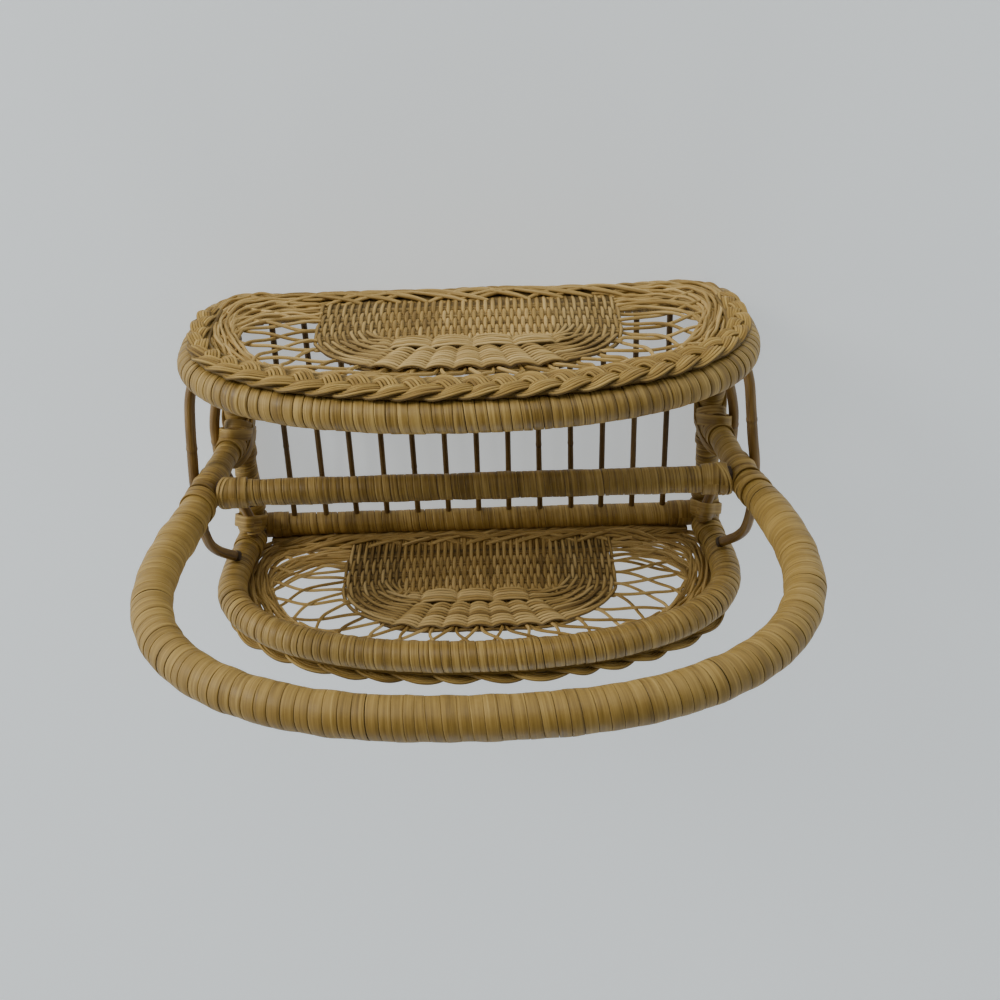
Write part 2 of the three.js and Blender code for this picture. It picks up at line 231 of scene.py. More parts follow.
# ---- poles ----------------------------------------------------------------
class Pole:
    """A pole's centreline with its frames and wrapped radius."""

    def __init__(self, points, radius, step=1.5, lump_seed=1, lump=0.18):
        self.p, self.s = resample(points, step)
        self.p = relax(self.p, 6)
        self.t, self.n, self.b = transport(self.p)
        self.length = self.s[-1]
        r = np.array([radius(q) for q in self.p]) if callable(radius) else np.full(len(self.p), float(radius))
        self.r = r + lump * Wave(lump_seed, 38)(self.s)
        k = np.gradient(self.t, self.s, axis=0)
        k[:3] = k[-3:] = 0
        self.k = relax(k, 12)

    def at(self, s):
        def f(a):
            return np.stack([np.interp(s, self.s, a[:, i]) for i in range(3)], -1)
        return f(self.p), unit(f(self.n)), unit(f(self.b)), np.interp(s, self.s, self.r), f(self.k)

    def skin(self, s, ang, lift=0.0):
        p, n, b, r, _ = self.at(s)
        d = np.cos(ang)[..., None] * n + np.sin(ang)[..., None] * b
        return p + d * (r + lift)[..., None], d

    def core(self, body, drop=WRAP + 0.15, sides=20, tone=-0.3, seed=3):
        i = np.unique(np.linspace(0, len(self.p) - 1, max(3, int(self.length / 4))).astype(int))
        # painted shade: shade 0.35 darkens the core where it shows between the turns of the wrap
        body.tube(self.p[i], self.r[i] - drop, sides=sides, tone=tone, seed=seed, shade=0.35)


def wrap(body, pole, seed, s0=0.0, s1=None, width=4.9, loose=0.5, per_turn=28, thick=WRAP, start=0.0,
         lift=0.0, change=22, calm=1.0, middle_painted_shade=0.0):
    """Flat reed wound round a pole, turn beside turn, as one closed strip."""
    g = np.random.default_rng(seed)
    s1 = pole.length if s1 is None else s1
    pitch = []
    total = 0.0
    while total < (s1 - s0) + 2 * width:
        w = width * (1 + 0.11 * g.standard_normal())
        if g.random() < 0.12:
            w *= g.uniform(0.62, 0.85)
        pitch.append(w)
        total += w
    edge = s0 + np.concatenate([[0], np.cumsum(pitch)])
    turns = int(np.searchsorted(edge, s1)) - 1
    scale = (s1 - s0) / (edge[turns + 1] - s0)
    edge = s0 + (edge - s0) * scale
    k = len(edge)
    idx = np.arange(k)
    open_wave = Wave(seed + 5, 90)(edge)
    gap = np.clip(g.exponential(0.07 * calm, k) + 0.10 * loose * np.maximum(open_wave, -0.2), 0.0, 0.8)
    gap[g.random(k) < 0.09 * loose * 2] += 0.4
    tilt = 0.20 * calm * g.standard_normal(k)
    high = 0.10 * calm * g.standard_normal(k) + 0.22 * (1 - calm) * Wave(seed + 33, 24)(edge)
    # tone changes a little turn by turn and more where a new length of reed starts
    seg = np.repeat(g.standard_normal(k // change + 2), change)[:k]
    tone_k = 0.34 * seg + 0.36 * g.standard_normal(k)
    # painted shade: the middle of the pole's length is made darker; only the handle's crown uses it
    tone_k = tone_k - middle_painted_shade * np.exp(-((edge - (s0 + s1) / 2) / 120) ** 2)
    c = np.arange(0, turns * per_turn + 1) / per_turn
    ang = start + TAU * c
    left = np.interp(c, idx, edge)
    right = np.interp(c + 1, idx, edge) - np.interp(c, idx, gap)
    # each turn's edges waver a little
    wob = 0.16 * Wave(seed + 9, 1.7)(c) + 0.12 * Wave(seed + 10, 0.45)(c)
    wob2 = 0.16 * Wave(seed + 9, 1.7)(c + 1) + 0.12 * Wave(seed + 10, 0.45)(c + 1)
    left = left + wob
    right = right + wob2
    mid, half = (left + right) / 2, (right - left) / 2
    # real width stays the same round a bend, so the turns part on its outside
    p, n, b, r, kk = pole.at(mid)
    d = np.cos(ang)[:, None] * n + np.sin(ang)[:, None] * b
    stretch = 1 - (kk * d).sum(-1) * r
    half = half * np.clip(stretch, 0.8, 1.25) ** -0.45
    a = SECTION_A
    sec = np.where(SECTION_H > 0, 1 - (1 - SECTION_H) * calm, 0)
    s = mid[:, None] + 2 * half[:, None] * a[None]
    s = np.clip(s, s0 - 1.5, s1 + 1.5)
    p, n, b, r, _ = pole.at(s)
    ang2 = np.broadcast_to(ang[:, None], s.shape)
    d = np.cos(ang2)[..., None] * n + np.sin(ang2)[..., None] * b
    tl = np.interp(c, idx, tilt)[:, None]
    hi = np.interp(c, idx, high)[:, None] + lift
    dent = 0.10 * Wave(seed + 21, 0.8)(c)[:, None]
    h = (r - thick) + sec[None] * thick + (sec[None] > 0) * (a[None] * tl + hi + dent)
    pts = p + d * h[..., None]
    along = c * TAU * float(pole.r.mean())
    grain = np.stack([np.broadcast_to(a[None] * 2 * half[:, None], s.shape) + 31.0 * np.floor(c[:, None] * 0 + seed % 7),
                      np.broadcast_to((seed * 3.7) + 0 * a[None], s.shape),
                      np.broadcast_to(along[:, None], s.shape)], -1)
    # painted shade at each turn's edges, which reads as dark lines between the turns; stronger where a turn stands open
    # (gap > 0.32)
    edge_painted_shade = np.clip(calm * (0.30 + 0.28 * open_wave + 0.24 * g.standard_normal(k)), 0.03, 1.0)
    edge_painted_shade[gap > 0.32] = 0.4 + 0.6 * calm
    ribbon_mesh(body, pts, grain, np.interp(c, idx, tone_k) * 0.9, 0.0, False, edge=np.interp(c, idx, edge_painted_shade))


def lash(body, centre, normal, poles, width=4.4, thick=0.9, lift=0.05, reach=30.0, seed=0, tone=0.0, count=72, edge=0.6,
         rounds=16):
    """One tight turn of flat reed round every pole that passes the plane near centre."""
    c, nrm = np.asarray(centre, float), unit(np.asarray(normal, float))
    cloud = []
    ang = np.linspace(0, TAU, 41)[:-1]
    for pole in poles:
        near = np.linalg.norm(pole.p - c, axis=1) < reach
        if not near.any():
            continue
        s = pole.s[near]
        s = np.linspace(s.min(), s.max(), max(8, int((s.max() - s.min()) / 0.8)))
        ss, aa = np.meshgrid(s, ang, indexing="ij")
        q, _ = pole.skin(ss.ravel(), aa.ravel())
        keep = np.abs((q - c) @ nrm) < width * 0.42
        cloud.append(q[keep])
    cloud = np.vstack(cloud)
    e1 = unit(np.cross(nrm, [0.3, 0.9, 0.2] if abs(nrm[1]) < 0.9 else [1.0, 0, 0]))
    e2 = np.cross(nrm, e1)
    flat = np.stack([(cloud - c) @ e1, (cloud - c) @ e2], 1)
    bins = 120
    i = np.arange(bins)
    slot = ((np.arctan2(flat[:, 1], flat[:, 0]) / TAU) % 1 * bins).astype(int) % bins
    top = np.zeros(bins)
    np.maximum.at(top, slot, np.hypot(flat[:, 0], flat[:, 1]))
    have = top > 0
    top = np.interp(i, i[have], top[have], period=bins)
    rad = top.copy()
    for _ in range(rounds):                    # bridges the hollows between two poles
        rad = np.maximum(top, 0.5 * rad + 0.25 * (np.roll(rad, 1) + np.roll(rad, -1)))
    for _ in range(6):
        rad = 0.5 * rad + 0.25 * (np.roll(rad, 1) + np.roll(rad, -1))
    th = (i + 0.5) / bins * TAU
    h = np.stack([rad * np.cos(th), rad * np.sin(th)], 1)
    h = h[np.linspace(0, bins, count + 1)[:-1].astype(int)]
    t = tangents(h, closed=True)
    n2 = np.stack([t[:, 1], -t[:, 0]], 1)      # outward for a counter-clockwise turn
    g = np.random.default_rng(seed + 77)
    base = c + h[:, :1] * e1 + h[:, 1:] * e2
    out = n2[:, :1] * e1 + n2[:, 1:] * e2
    run = t[:, :1] * e1 + t[:, 1:] * e2
    wdir = np.cross(out, run)
    s = np.arange(count) / count * TAU
    w = width * (1 + 0.06 * np.sin(s + g.uniform(0, 6)) + 0.04 * np.sin(3 * s + g.uniform(0, 6)))
    drift = 0.5 * np.sin(s + g.uniform(0, 6))
    hgt = np.where(SECTION_H > 0, lift + SECTION_H * thick, -0.8)[None]
    pts = (base[:, None] + (SECTION_A[None] * w[:, None] + drift[:, None])[..., None] * wdir[:, None]
           + hgt[..., None] * out[:, None])
    length = np.concatenate([[0], np.cumsum(np.linalg.norm(np.diff(base, axis=0), axis=1))])
    grain = np.stack([SECTION_A[None] * w[:, None] + seed * 7.7, np.full((count, len(SECTION_A)), seed * 2.3),
                      np.broadcast_to(length[:, None], (count, len(SECTION_A)))], -1)
    # edge weights the painted shade at the band's edges
    ribbon_mesh(body, pts, grain, tone + 0.3 * g.standard_normal(), 0.0, True, edge=edge)


# ---- materials ------------------------------------------------------------
def srgb(*c):
    return tuple(((v / 255) / 12.92 if v / 255 <= 0.04045 else ((v / 255 + 0.055) / 1.055) ** 2.4) for v in c) + (1.0,)


def cane(name, dark, mid, light, gap, fibre=3.2, run=0.03, bump=0.06, rough=(0.42, 0.68), tone_gain=0.16,
         blotch=0.5, fleck=0.5, specular=0.4, coat=0.0, gap_power=1.0, streak=1.15):
    """Procedural reed: long fibres in the grain direction, soft blotches and flecks, with painted shade from the shade
    attribute (darker edges, grooves and recesses).
    """
    m = bpy.data.materials.new(name)
    m.use_nodes = True
    nt = m.node_tree
    nt.nodes.clear()
    N, L = nt.nodes.new, nt.links.new

    def node(kind, **kw):
        n = N(kind)
        for key, val in kw.items():
            setattr(n, key, val)
        return n

    out = node("ShaderNodeOutputMaterial")
    bsdf = node("ShaderNodeBsdfPrincipled")
    L(bsdf.outputs[0], out.inputs[0])
    bsdf.inputs["Specular IOR Level"].default_value = specular
    bsdf.inputs["Coat Weight"].default_value = coat
    bsdf.inputs["Coat Roughness"].default_value = 0.35

    grain = node("ShaderNodeAttribute", attribute_name="grain")
    tone = node("ShaderNodeAttribute", attribute_name="tone")
    shade = node("ShaderNodeAttribute", attribute_name="shade")

    def mapped(sx, sy, sz):
        mp = node("ShaderNodeMapping", vector_type="POINT")
        mp.inputs["Scale"].default_value = (sx, sy, sz)
        L(grain.outputs["Vector"], mp.inputs["Vector"])
        return mp.outputs[0]

    def noise(vec, detail=3.0, roughness=0.55):
        n = node("ShaderNodeTexNoise")
        n.inputs["Scale"].default_value = 1.0
        n.inputs["Detail"].default_value = detail
        n.inputs["Roughness"].default_value = roughness
        L(vec, n.inputs["Vector"])
        return n.outputs[0]

    def math_(op, a, b=None, clamp=False):
        n = node("ShaderNodeMath", operation=op, use_clamp=clamp)
        for i, v in enumerate((a, b)):
            if v is None:
                continue
            if isinstance(v, (int, float)):
                n.inputs[i].default_value = v
            else:
                L(v, n.inputs[i])
        return n.outputs[0]

    fibres = noise(mapped(fibre, fibre, run), 3.0, 0.6)
    fine = noise(mapped(fibre * 2.6, fibre * 2.6, run * 2.5), 2.0, 0.5)
    soft = noise(mapped(0.22, 0.22, 0.035), 2.0, 0.5)
    spots = noise(mapped(0.9, 0.9, 0.16), 2.0, 0.5)

    # value that walks along the colour ramp
    v = math_("MULTIPLY", math_("SUBTRACT", fibres, 0.5), streak)
    v = math_("ADD", v, math_("MULTIPLY", math_("SUBTRACT", fine, 0.5), 0.45))
    v = math_("ADD", v, math_("MULTIPLY", math_("SUBTRACT", soft, 0.5), blotch * 1.6))
    v = math_("ADD", v, math_("MULTIPLY", tone.outputs["Fac"], tone_gain))
    v = math_("ADD", v, 0.5, clamp=True)
    ramp = node("ShaderNodeValToRGB")
    cr = ramp.color_ramp
    cr.elements[0].position, cr.elements[0].color = 0.08, dark
    cr.elements[1].position, cr.elements[1].color = 0.92, light
    e = cr.elements.new(0.5)
    e.color = mid
    L(v, ramp.inputs[0])

    # brown flecks and handling marks
    fl = node("ShaderNodeMapRange")
    fl.inputs["From Min"].default_value = 0.66
    fl.inputs["From Max"].default_value = 0.78
    L(spots, fl.inputs["Value"])
    mix1 = node("ShaderNodeMix", data_type="RGBA")
    mix1.inputs["B"].default_value = tuple(0.45 * a + 0.55 * b for a, b in zip(gap, dark))
    L(math_("MULTIPLY", fl.outputs[0], fleck * 0.6), mix1.inputs["Factor"])
    L(ramp.outputs[0], mix1.inputs["A"])

    # painted shade towards the edges of each strand and in grooves and recesses: the shade attribute mixes the colour
    # towards the dark gap colour
    painted_shade_mix = node("ShaderNodeMix", data_type="RGBA")
    painted_shade_mix.inputs["B"].default_value = gap
    L(math_("MULTIPLY", math_("POWER", shade.outputs["Fac"], 1.4), gap_power * 0.85, clamp=True), painted_shade_mix.inputs["Factor"])
    L(mix1.outputs["Result"], painted_shade_mix.inputs["A"])
    L(painted_shade_mix.outputs["Result"], bsdf.inputs["Base Color"])

    rg = node("ShaderNodeMapRange")
    rg.inputs["From Min"].default_value = 0.25
    rg.inputs["From Max"].default_value = 0.75
    rg.inputs["To Min"].default_value = rough[0]
    rg.inputs["To Max"].default_value = rough[1]
    L(fibres, rg.inputs["Value"])
    L(rg.outputs[0], bsdf.inputs["Roughness"])

    bp = node("ShaderNodeBump")
    bp.inputs["Strength"].default_value = 0.9
    bp.inputs["Distance"].default_value = bump * MM
    hsum = math_("ADD", fibres, math_("MULTIPLY", fine, 0.5))
    L(hsum, bp.inputs["Height"])
    L(bp.outputs[0], bsdf.inputs["Normal"])
    return m


# the fourth colour of each reed is the dark colour that painted shade mixes towards; flecks take some of it too
MAT = {
    "wrap": cane("reed_wrapping", srgb(112, 86, 34), srgb(150, 119, 55), srgb(184, 152, 84), srgb(34, 21, 6),
                 fibre=0.72, run=0.012, bump=0.24, rough=(0.38, 0.64), tone_gain=0.14, specular=0.44, streak=2.3),
    "wrap_soft": cane("reed_wrapping_handle", srgb(112, 86, 34), srgb(150, 119, 55), srgb(184, 152, 84), srgb(34, 21, 6),
                      fibre=0.72, run=0.012, bump=0.12, rough=(0.42, 0.64), tone_gain=0.13, specular=0.38, streak=1.3),
    "core": cane("pole_core", srgb(44, 28, 10), srgb(64, 42, 17), srgb(84, 58, 26), srgb(22, 13, 5),
                 fibre=1.6, run=0.03, bump=0.05, rough=(0.6, 0.8)),
    "braid": cane("reed_plait", srgb(118, 88, 34), srgb(165, 131, 62), srgb(200, 166, 94), srgb(38, 24, 7),
                  fibre=3.0, run=0.03, bump=0.05, rough=(0.48, 0.70), tone_gain=0.24, specular=0.34),
    "mat": cane("reed_weave", srgb(122, 94, 44), srgb(174, 141, 77), srgb(208, 176, 114), srgb(42, 28, 10),
                fibre=3.0, run=0.03, bump=0.05, rough=(0.50, 0.72), tone_gain=0.24, specular=0.32),
    "slat": cane("cane_slats", srgb(70, 50, 20), srgb(104, 78, 36), srgb(134, 104, 54), srgb(30, 18, 6),
                 fibre=2.2, run=0.02, bump=0.05, rough=(0.38, 0.58), tone_gain=0.2, specular=0.45),
    "bow": cane("cane_bows", srgb(90, 64, 26), srgb(130, 98, 46), srgb(164, 130, 72), srgb(36, 22, 8),
                fibre=1.7, run=0.015, bump=0.05, rough=(0.34, 0.54), tone_gain=0.2, specular=0.48, blotch=0.8),
    "lash": cane("reed_lashing", srgb(106, 79, 32), srgb(145, 114, 52), srgb(180, 148, 82), srgb(32, 20, 6),
                 fibre=0.8, run=0.012, bump=0.14, rough=(0.42, 0.64), tone_gain=0.18, specular=0.38, streak=1.7),
}


def make(name, body, material, nodes=()):
    me = bpy.data.meshes.new(name)
    v = np.concatenate(body.v) * MM
    q = np.concatenate(body.q)
    t = np.concatenate(body.t) if body.t else np.zeros((0, 3), int)
    me.vertices.add(len(v))
    me.vertices.foreach_set("co", v.astype(np.float32).ravel())
    loops = np.concatenate([q.ravel(), t.ravel()]).astype(np.int32)
    me.loops.add(len(loops))
    me.loops.foreach_set("vertex_index", loops)
    me.polygons.add(len(q) + len(t))
    starts = np.concatenate([np.arange(len(q)) * 4, len(q) * 4 + np.arange(len(t)) * 3]).astype(np.int32)
    me.polygons.foreach_set("loop_start", starts)
    me.update(calc_edges=True)
    me.validate()
    me.shade_smooth()
    a = me.attributes.new("grain", "FLOAT_VECTOR", "POINT")
    a.data.foreach_set("vector", np.concatenate(body.grain).astype(np.float32).ravel())
    a = me.attributes.new("tone", "FLOAT", "POINT")
    a.data.foreach_set("value", np.concatenate(body.tone).astype(np.float32))
    a = me.attributes.new("shade", "FLOAT", "POINT")
    a.data.foreach_set("value", np.concatenate(body.shade).astype(np.float32))
    me.materials.append(MAT[material])
    ob = bpy.data.objects.new(name, me)
    bpy.context.scene.collection.objects.link(ob)
    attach(ob, "root")
    if nodes:
        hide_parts(*nodes)
    print(name, len(q) * 2 + len(t), "triangles")
    return ob


# ---- frame centrelines ----------------------------------------------------
def arch_radius(p):
    return R_LOW + (ARCH_R - R_LOW) * float(smooth((p[2] - Z_BASE) / 60))


def arch_curve(z_from):
    """x, z of the left half from z_from to the crown."""
    zb = Z_BASE + ARCH_BELLY
    z = np.linspace(z_from, zb, 60)
    t = (zb - z) / (zb - Z_BASE - CORNER_R)
    side = np.stack([-(ARCH_HALF - (ARCH_HALF - END_X) * t * t), z], 1)
    u = np.linspace(math.pi / 2, 0, 240)[1:]
    top = np.stack([-ARCH_HALF * np.sin(u) ** (2 / ARCH_EXP),
                    zb + (ARCH_RISE - ARCH_BELLY) * np.maximum(np.cos(u), 0) ** (2 / ARCH_EXP)], 1)
    top[-1, 0] = 0
    return np.vstack([side, top])


def arch_points(side):
    a = np.linspace(0, math.pi / 2, 30)
    pts = [[-END_X, side * (SPLIT_Y + 0.15), Z_BASE]]
    pts += [[-END_X, side * (SIDE_Y - CORNER_R + CORNER_R * math.sin(x)), Z_BASE + CORNER_R * (1 - math.cos(x))] for x in a]
    pts += [[x, side * SIDE_Y, z] for x, z in arch_curve(Z_BASE + CORNER_R)[1:]]
    half = np.array(pts)
    return np.vstack([half, half[-2::-1] * [-1, 1, 1]])


def handle_points():
    zb = Z_BASE + HANDLE_BELLY
    z = np.linspace(FOOT_Z - 1.2, CROSS_Z, 40)
    pts = [[-(FOOT_X + LEAN * (q - FOOT_Z)), 0, q] for q in z]
    L = zb - CROSS_Z
    for s in np.linspace(0, 1, 40)[1:]:
        h00, h10, h01 = 2 * s ** 3 - 3 * s ** 2 + 1, s ** 3 - 2 * s ** 2 + s, -2 * s ** 3 + 3 * s ** 2
        pts.append([-(h00 * HIP_X + h10 * LEAN * L + h01 * HANDLE_HALF), 0, CROSS_Z + L * s])
    for u in np.linspace(math.pi / 2, 0, 240)[1:]:
        pts.append([-HANDLE_HALF * math.sin(u) ** (2 / HANDLE_EXP), 0,
                    zb + (HANDLE_RISE - HANDLE_BELLY) * max(0.0, math.cos(u)) ** (2 / HANDLE_EXP)])
    half = np.array(pts)
    half[-1, 0] = 0
    hoop = np.vstack([half, half[-2::-1] * [-1, 1, 1]])
    # handmade: the hoop leans a few millimetres
    hoop[:, 0] -= 2.9 * smooth((hoop[:, 2] - CROSS_Z + 4) / 45)
    hoop[:, 1] -= 3.0 * smooth((hoop[:, 2] - CROSS_Z) / 200)
    return hoop


poles = {
    "front_arch": Pole(arch_points(-1), arch_radius, lump_seed=4),
    "rear_arch": Pole(arch_points(1), arch_radius, lump_seed=9),
    "left_end": Pole([[-END_X, -SPLIT_Y + .15, Z_BASE], [-END_X, SPLIT_Y - .15, Z_BASE]], R_LOW, lump_seed=12),
    "right_end": Pole([[END_X, -SPLIT_Y + .15, Z_BASE], [END_X, SPLIT_Y - .15, Z_BASE]], R_LOW, lump_seed=15),
    "front_base": Pole([[-BASE_END, -BASE_Y, Z_BASE], [BASE_END, -BASE_Y, Z_BASE]], R_LOW, lump_seed=18, lump=0.12),
    "rear_base": Pole([[-BASE_END, BASE_Y, Z_BASE], [BASE_END, BASE_Y, Z_BASE]], R_LOW, lump_seed=21, lump=0.12),
    "handle": Pole(handle_points(), lambda p: R_LOW + (HANDLE_R - R_LOW) * float(smooth((p[2] - 85) / 70)),
                   lump_seed=25, lump=0.3),
    "crossbar": Pole([[-HIP_X + 9, 0, CROSS_Z], [HIP_X - 9, 0, CROSS_Z]], CROSS_R, lump_seed=31, lump=0.2),
}

for i, (name, pole) in enumerate(poles.items()):
    core = Body()
    pole.core(core, seed=i + 1)
    make(f"{name}_core", core, "core", [f"{name}_pole"])
    reed = Body()
    wrap(reed, pole, seed=100 + 13 * i, loose={"front_arch": 0.55, "rear_arch": 0.6, "handle": 0.3}.get(name, 0.4),
         width={"handle": 7.2, "crossbar": 5.4, "front_arch": 6.6, "rear_arch": 6.3}.get(name, 5.6), start=0.7 * i,
         calm={"handle": 0.5, "crossbar": 0.8, "rear_base": 0.55}.get(name, 1.0), middle_painted_shade=1.25 if name == "handle" else 0.0)
    make(f"{name}_reed", reed, "wrap_soft" if name == "handle" else "wrap", [f"{name}_wrap"])


# ---- slats ----------------------------------------------------------------
def cane_rod(body, points, r, seed, sides=14, step=1.5, nodes=()):
    p, s = resample(points, step)
    rr = r * (1 + 0.025 * Wave(seed, 45)(s))
    shade = 0.12 + 0.10 * Wave(seed + 1, 60)(s)
    for at in nodes:
        x = (s - at) / 1.3
        rr = rr + 0.10 * r * np.exp(-x * x) - 0.05 * r * np.exp(-((s - at - 2.6) / 1.2) ** 2)
        shade = shade + 0.55 * np.exp(-((s - at - 1.3) / 0.7) ** 2)
    body.tube(p, rr, sides=sides, seed=seed, shade=np.clip(shade, 0, 1), tone=0.5 * Wave(seed + 2, 80)(s))


slat_end = BASE_Y - R_LOW + 4.5
g = np.random.default_rng(5)
for i in range(SLATS):
    x = (i - (SLATS - 1) / 2) * SLAT_PITCH
    y = np.linspace(-slat_end, slat_end, 24)
    lean = 0.35 * g.standard_normal()
    bow_ = 0.35 * g.standard_normal()
    pts = np.stack([x + lean * y / slat_end + bow_ * (1 - (y / slat_end) ** 2), y,
                    Z_BASE + 0.25 * g.standard_normal() * (1 - (y / slat_end) ** 2)], 1)
    b = Body()
    cane_rod(b, pts, SLAT_R, seed=40 + i, nodes=g.uniform(20, 150, g.integers(1, 3)))
    make(f"slat_rod_{i + 1:02d}", b, "slat", [f"slat_{i + 1:02d}"])


# ---- side bows ------------------------------------------------------------
# half of each bow, from beside the handle leg to where it turns into the arch
UPPER = [(189.6, 0, 82), (190.3, 20, 81.5), (190.5, 40, 79), (188.8, 57, 75.5), (185.2, 67, 70.5), (180.0, 73.5, 66),
         (175.0, 78, 62.5)]
NEAR_IN = [0, 3.0, 5.0, 5.0, 4.0, 2.0, 0.5]      # how much closer in the front half of an upper bow runs
LOWER = [(182.6, 0, 33), (182.2, 13, 32.5), (179.4, 28, 31.5), (174.6, 44, 31), (170.2, 58, 31), (167.2, 69, 31), (165.6, 81, 31)]
bows = {}
for k, (name, side, half) in enumerate([("left_upper_bow", -1, UPPER), ("left_lower_bow", -1, LOWER),
                                        ("right_upper_bow", 1, UPPER), ("right_lower_bow", 1, LOWER)]):
    half = np.array(half, float)
    near = half.copy()
    if "upper" in name:
        near[:, 0] -= np.array(NEAR_IN) * (1.15 if side < 0 else 0.75)
    pts = np.vstack([near[:0:-1] * [side, -1, 1], half * [side, 1, 1]])
    pts = spline(pts, 1.5)
    bows[name] = Pole(pts, BOW_R - 0.1, lump=0.0)
    b = Body()
    cane_rod(b, pts, BOW_R - 0.1, seed=70 + k, sides=18, nodes=g.uniform(40, 150, 2))
    if "upper" in name:
        # painted shade: a dark ring (shade 1.0) at each end of an upper bow stands for the shadowed hole where the bow
        # enters the arch
        for tip, back in ((pts[0], pts[3]), (pts[-1], pts[-4])):
            d = unit(tip - back)
            b.tube(np.stack([tip - 0.2 * d, tip + 1.0 * d, tip + 2.4 * d]), BOW_R + 0.45, sides=14, seed=88, shade=1.0)
    make(f"{name}_cane", b, "bow", [name])


# ---- plaited edge ---------------------------------------------------------
def offset_in(xz, d):
    """Moves a left-to-right curve over the crown towards the inside."""
    t = tangents(xz)
    d = np.broadcast_to(d, (len(xz),))
    return np.stack([xz[:, 0] + t[:, 1] * d, xz[:, 1] - t[:, 0] * d], 1)


def braid_line():
    """Centreline of the plait with its half width: narrow on the poles' sides, broad over the crown."""
    half = arch_curve(Z_BASE + 30)
    full, s = resample(np.vstack([half, half[-2::-1] * [-1, 1]]), 1.0)
    e = np.minimum(s, s[-1] - s)
    centre = np.interp(e, [0, 60, 92, 115, 150], [3.6, 4.2, 5.6, 6.8, 7.4])
    width = np.interp(e, [0, 60, 92, 115, 150], [7.0, 8.0, 10.8, 12.8, 14.2])
    line = offset_in(full, relax(centre, 20))
    return np.column_stack([line, relax(width, 20)])


BRAID = braid_line()


def plait(body, side, seed):
    line = BRAID[::-1]                         # seen from the front: from +X over the crown to -X
    xz, s = resample(line[:, :2], 1.0)
    half = np.interp(s, np.linspace(0, s[-1], len(line)), line[:, 2])
    length = s[-1]
    lay, rise, shear = (53.0, 2.0, 0.30) if side < 0 else (76.0, 1.9, 0.30)
    n = int(length / 1.3)
    ss = np.linspace(0, length, n)
    t2 = tangents(xz)
    inward = np.stack([-t2[:, 1], t2[:, 0]], 1)
    if (inward[len(xz) // 2] @ np.array([0, -1.0])) < 0:
        inward = -inward
    wl, wa = Wave(seed, 70), Wave(seed + 1, 60)
    drift = 2.0 * Wave(seed + 2, 110)(ss)
    hw = np.interp(ss, s, half)
    taper = smooth(ss / 14) * smooth((length - ss) / 14)
    reeds = 5
    wide = np.interp(hw, [7.0, 14.2], [0.74, 1.0])          # strands draw together on the sides
    gap = 2.30 * wide
    amp = np.maximum(hw - reeds * gap * 0.5, 1.8)
    for j in range(3):
        ph = TAU * ((ss + drift) / lay + j / 3) + 0.22 * Wave(seed + 3 + j, 50)(ss)
        w = (amp + 0.4 * wa(ss)) * np.sin(ph) + 0.35 * wl(ss)
        h = -rise * np.sin(2 * ph) * (1 + 0.10 * Wave(seed + 8 + j, 40)(ss)) * (0.85 + 0.15 * wide)
        w, h = w * (0.3 + 0.7 * taper), h * (0.4 + 0.6 * taper)
        sa = np.clip(ss + shear * w, 0, length)
        base = np.stack([np.interp(sa, s, xz[:, 0]), np.interp(sa, s, xz[:, 1])], 1)
        w = w - (0.0 if side < 0 else 2.0 * taper)
        inn = unit(np.stack([np.interp(sa, s, inward[:, 0]), np.interp(sa, s, inward[:, 1])], 1))
        p2 = base + inn * w[:, None]
        c = np.stack([p2[:, 0], side * (FACE_Y + (4.0 if side < 0 else 5.4) + h - 0.8 * (1 - taper)), p2[:, 1]], 1)
        lat = unit(np.cross(tangents(c), np.array([0, side, 0.0])))
        squeeze = 0.86 + 0.14 * np.abs(np.cos(ph))
        for k in range(reeds):
            o = (k - (reeds - 1) / 2) * gap * squeeze + 0.2 * Wave(seed + 20 + 7 * j + k, 24)(ss)
            sag = -0.42 * ((k - 2) / 2.0) ** 2
            q = c + lat * o[:, None]
            q[:, 1] += side * (sag + 0.16 * Wave(seed + 60 + 5 * j + k, 17)(ss))
            q = relax(q, 2)
            r = 1.13 * (0.82 + 0.18 * wide) * (1 + 0.05 * Wave(seed + 90 + 5 * j + k, 60)(ss))
            # painted shade: each strand darkens where it lies deeper, away from the seen face, and groove_shade darkens
            # its sides; on the rear plait the tone raised by 0.9 and the lower base shade are painted light
            body.tube(q, r, sides=8, seed=seed % 11 + 4 * j + k, up=(0, side, 0), flat=0.96,
                      tone=0.9 * Wave(seed + 120 + j * 4 + k, 120)(ss) + 0.4 * math.sin(j * 4.7 + k * 2.3) + (0 if side < 0 else 0.9),
                      shade=np.clip((0.14 if side < 0 else 0.05) + 0.2 * side * h / rise, 0, 1),
                      groove_shade=0.9 if side < 0 else 0.7)


def plait_bed_painted_shade(body, side, seed):
    """Strands that lie between the plait and the arch, darkened as painted shade (0.72 in front, 0.35 behind) for the
    shadow under the plait.
    """
    xz, s = resample(BRAID[::-1, :2], 1.5)
    half = np.interp(s, np.linspace(0, s[-1], len(BRAID)), BRAID[::-1, 2])
    for j, f in enumerate((-0.86, -0.5, -0.14, 0.22, 0.58)):
        q = offset_in(xz, -half * f - 0.3 * Wave(seed + j, 40)(s)) if xz[0, 0] < 0 else offset_in(xz, half * f)
        ends = smooth(s / 20) * smooth((s[-1] - s) / 20)
        y = FACE_Y + 1.9 + 0.3 * Wave(seed + 9 + j, 30)(s)
        body.tube(relax(np.stack([q[:, 0], side * y, q[:, 1]], 1), 2), 1.75 * (0.6 + 0.4 * ends), sides=8, seed=j + 3,
                  up=(0, side, 0), shade=0.72 if side < 0 else 0.35, tone=0.3 * Wave(seed + 20 + j, 90)(s))


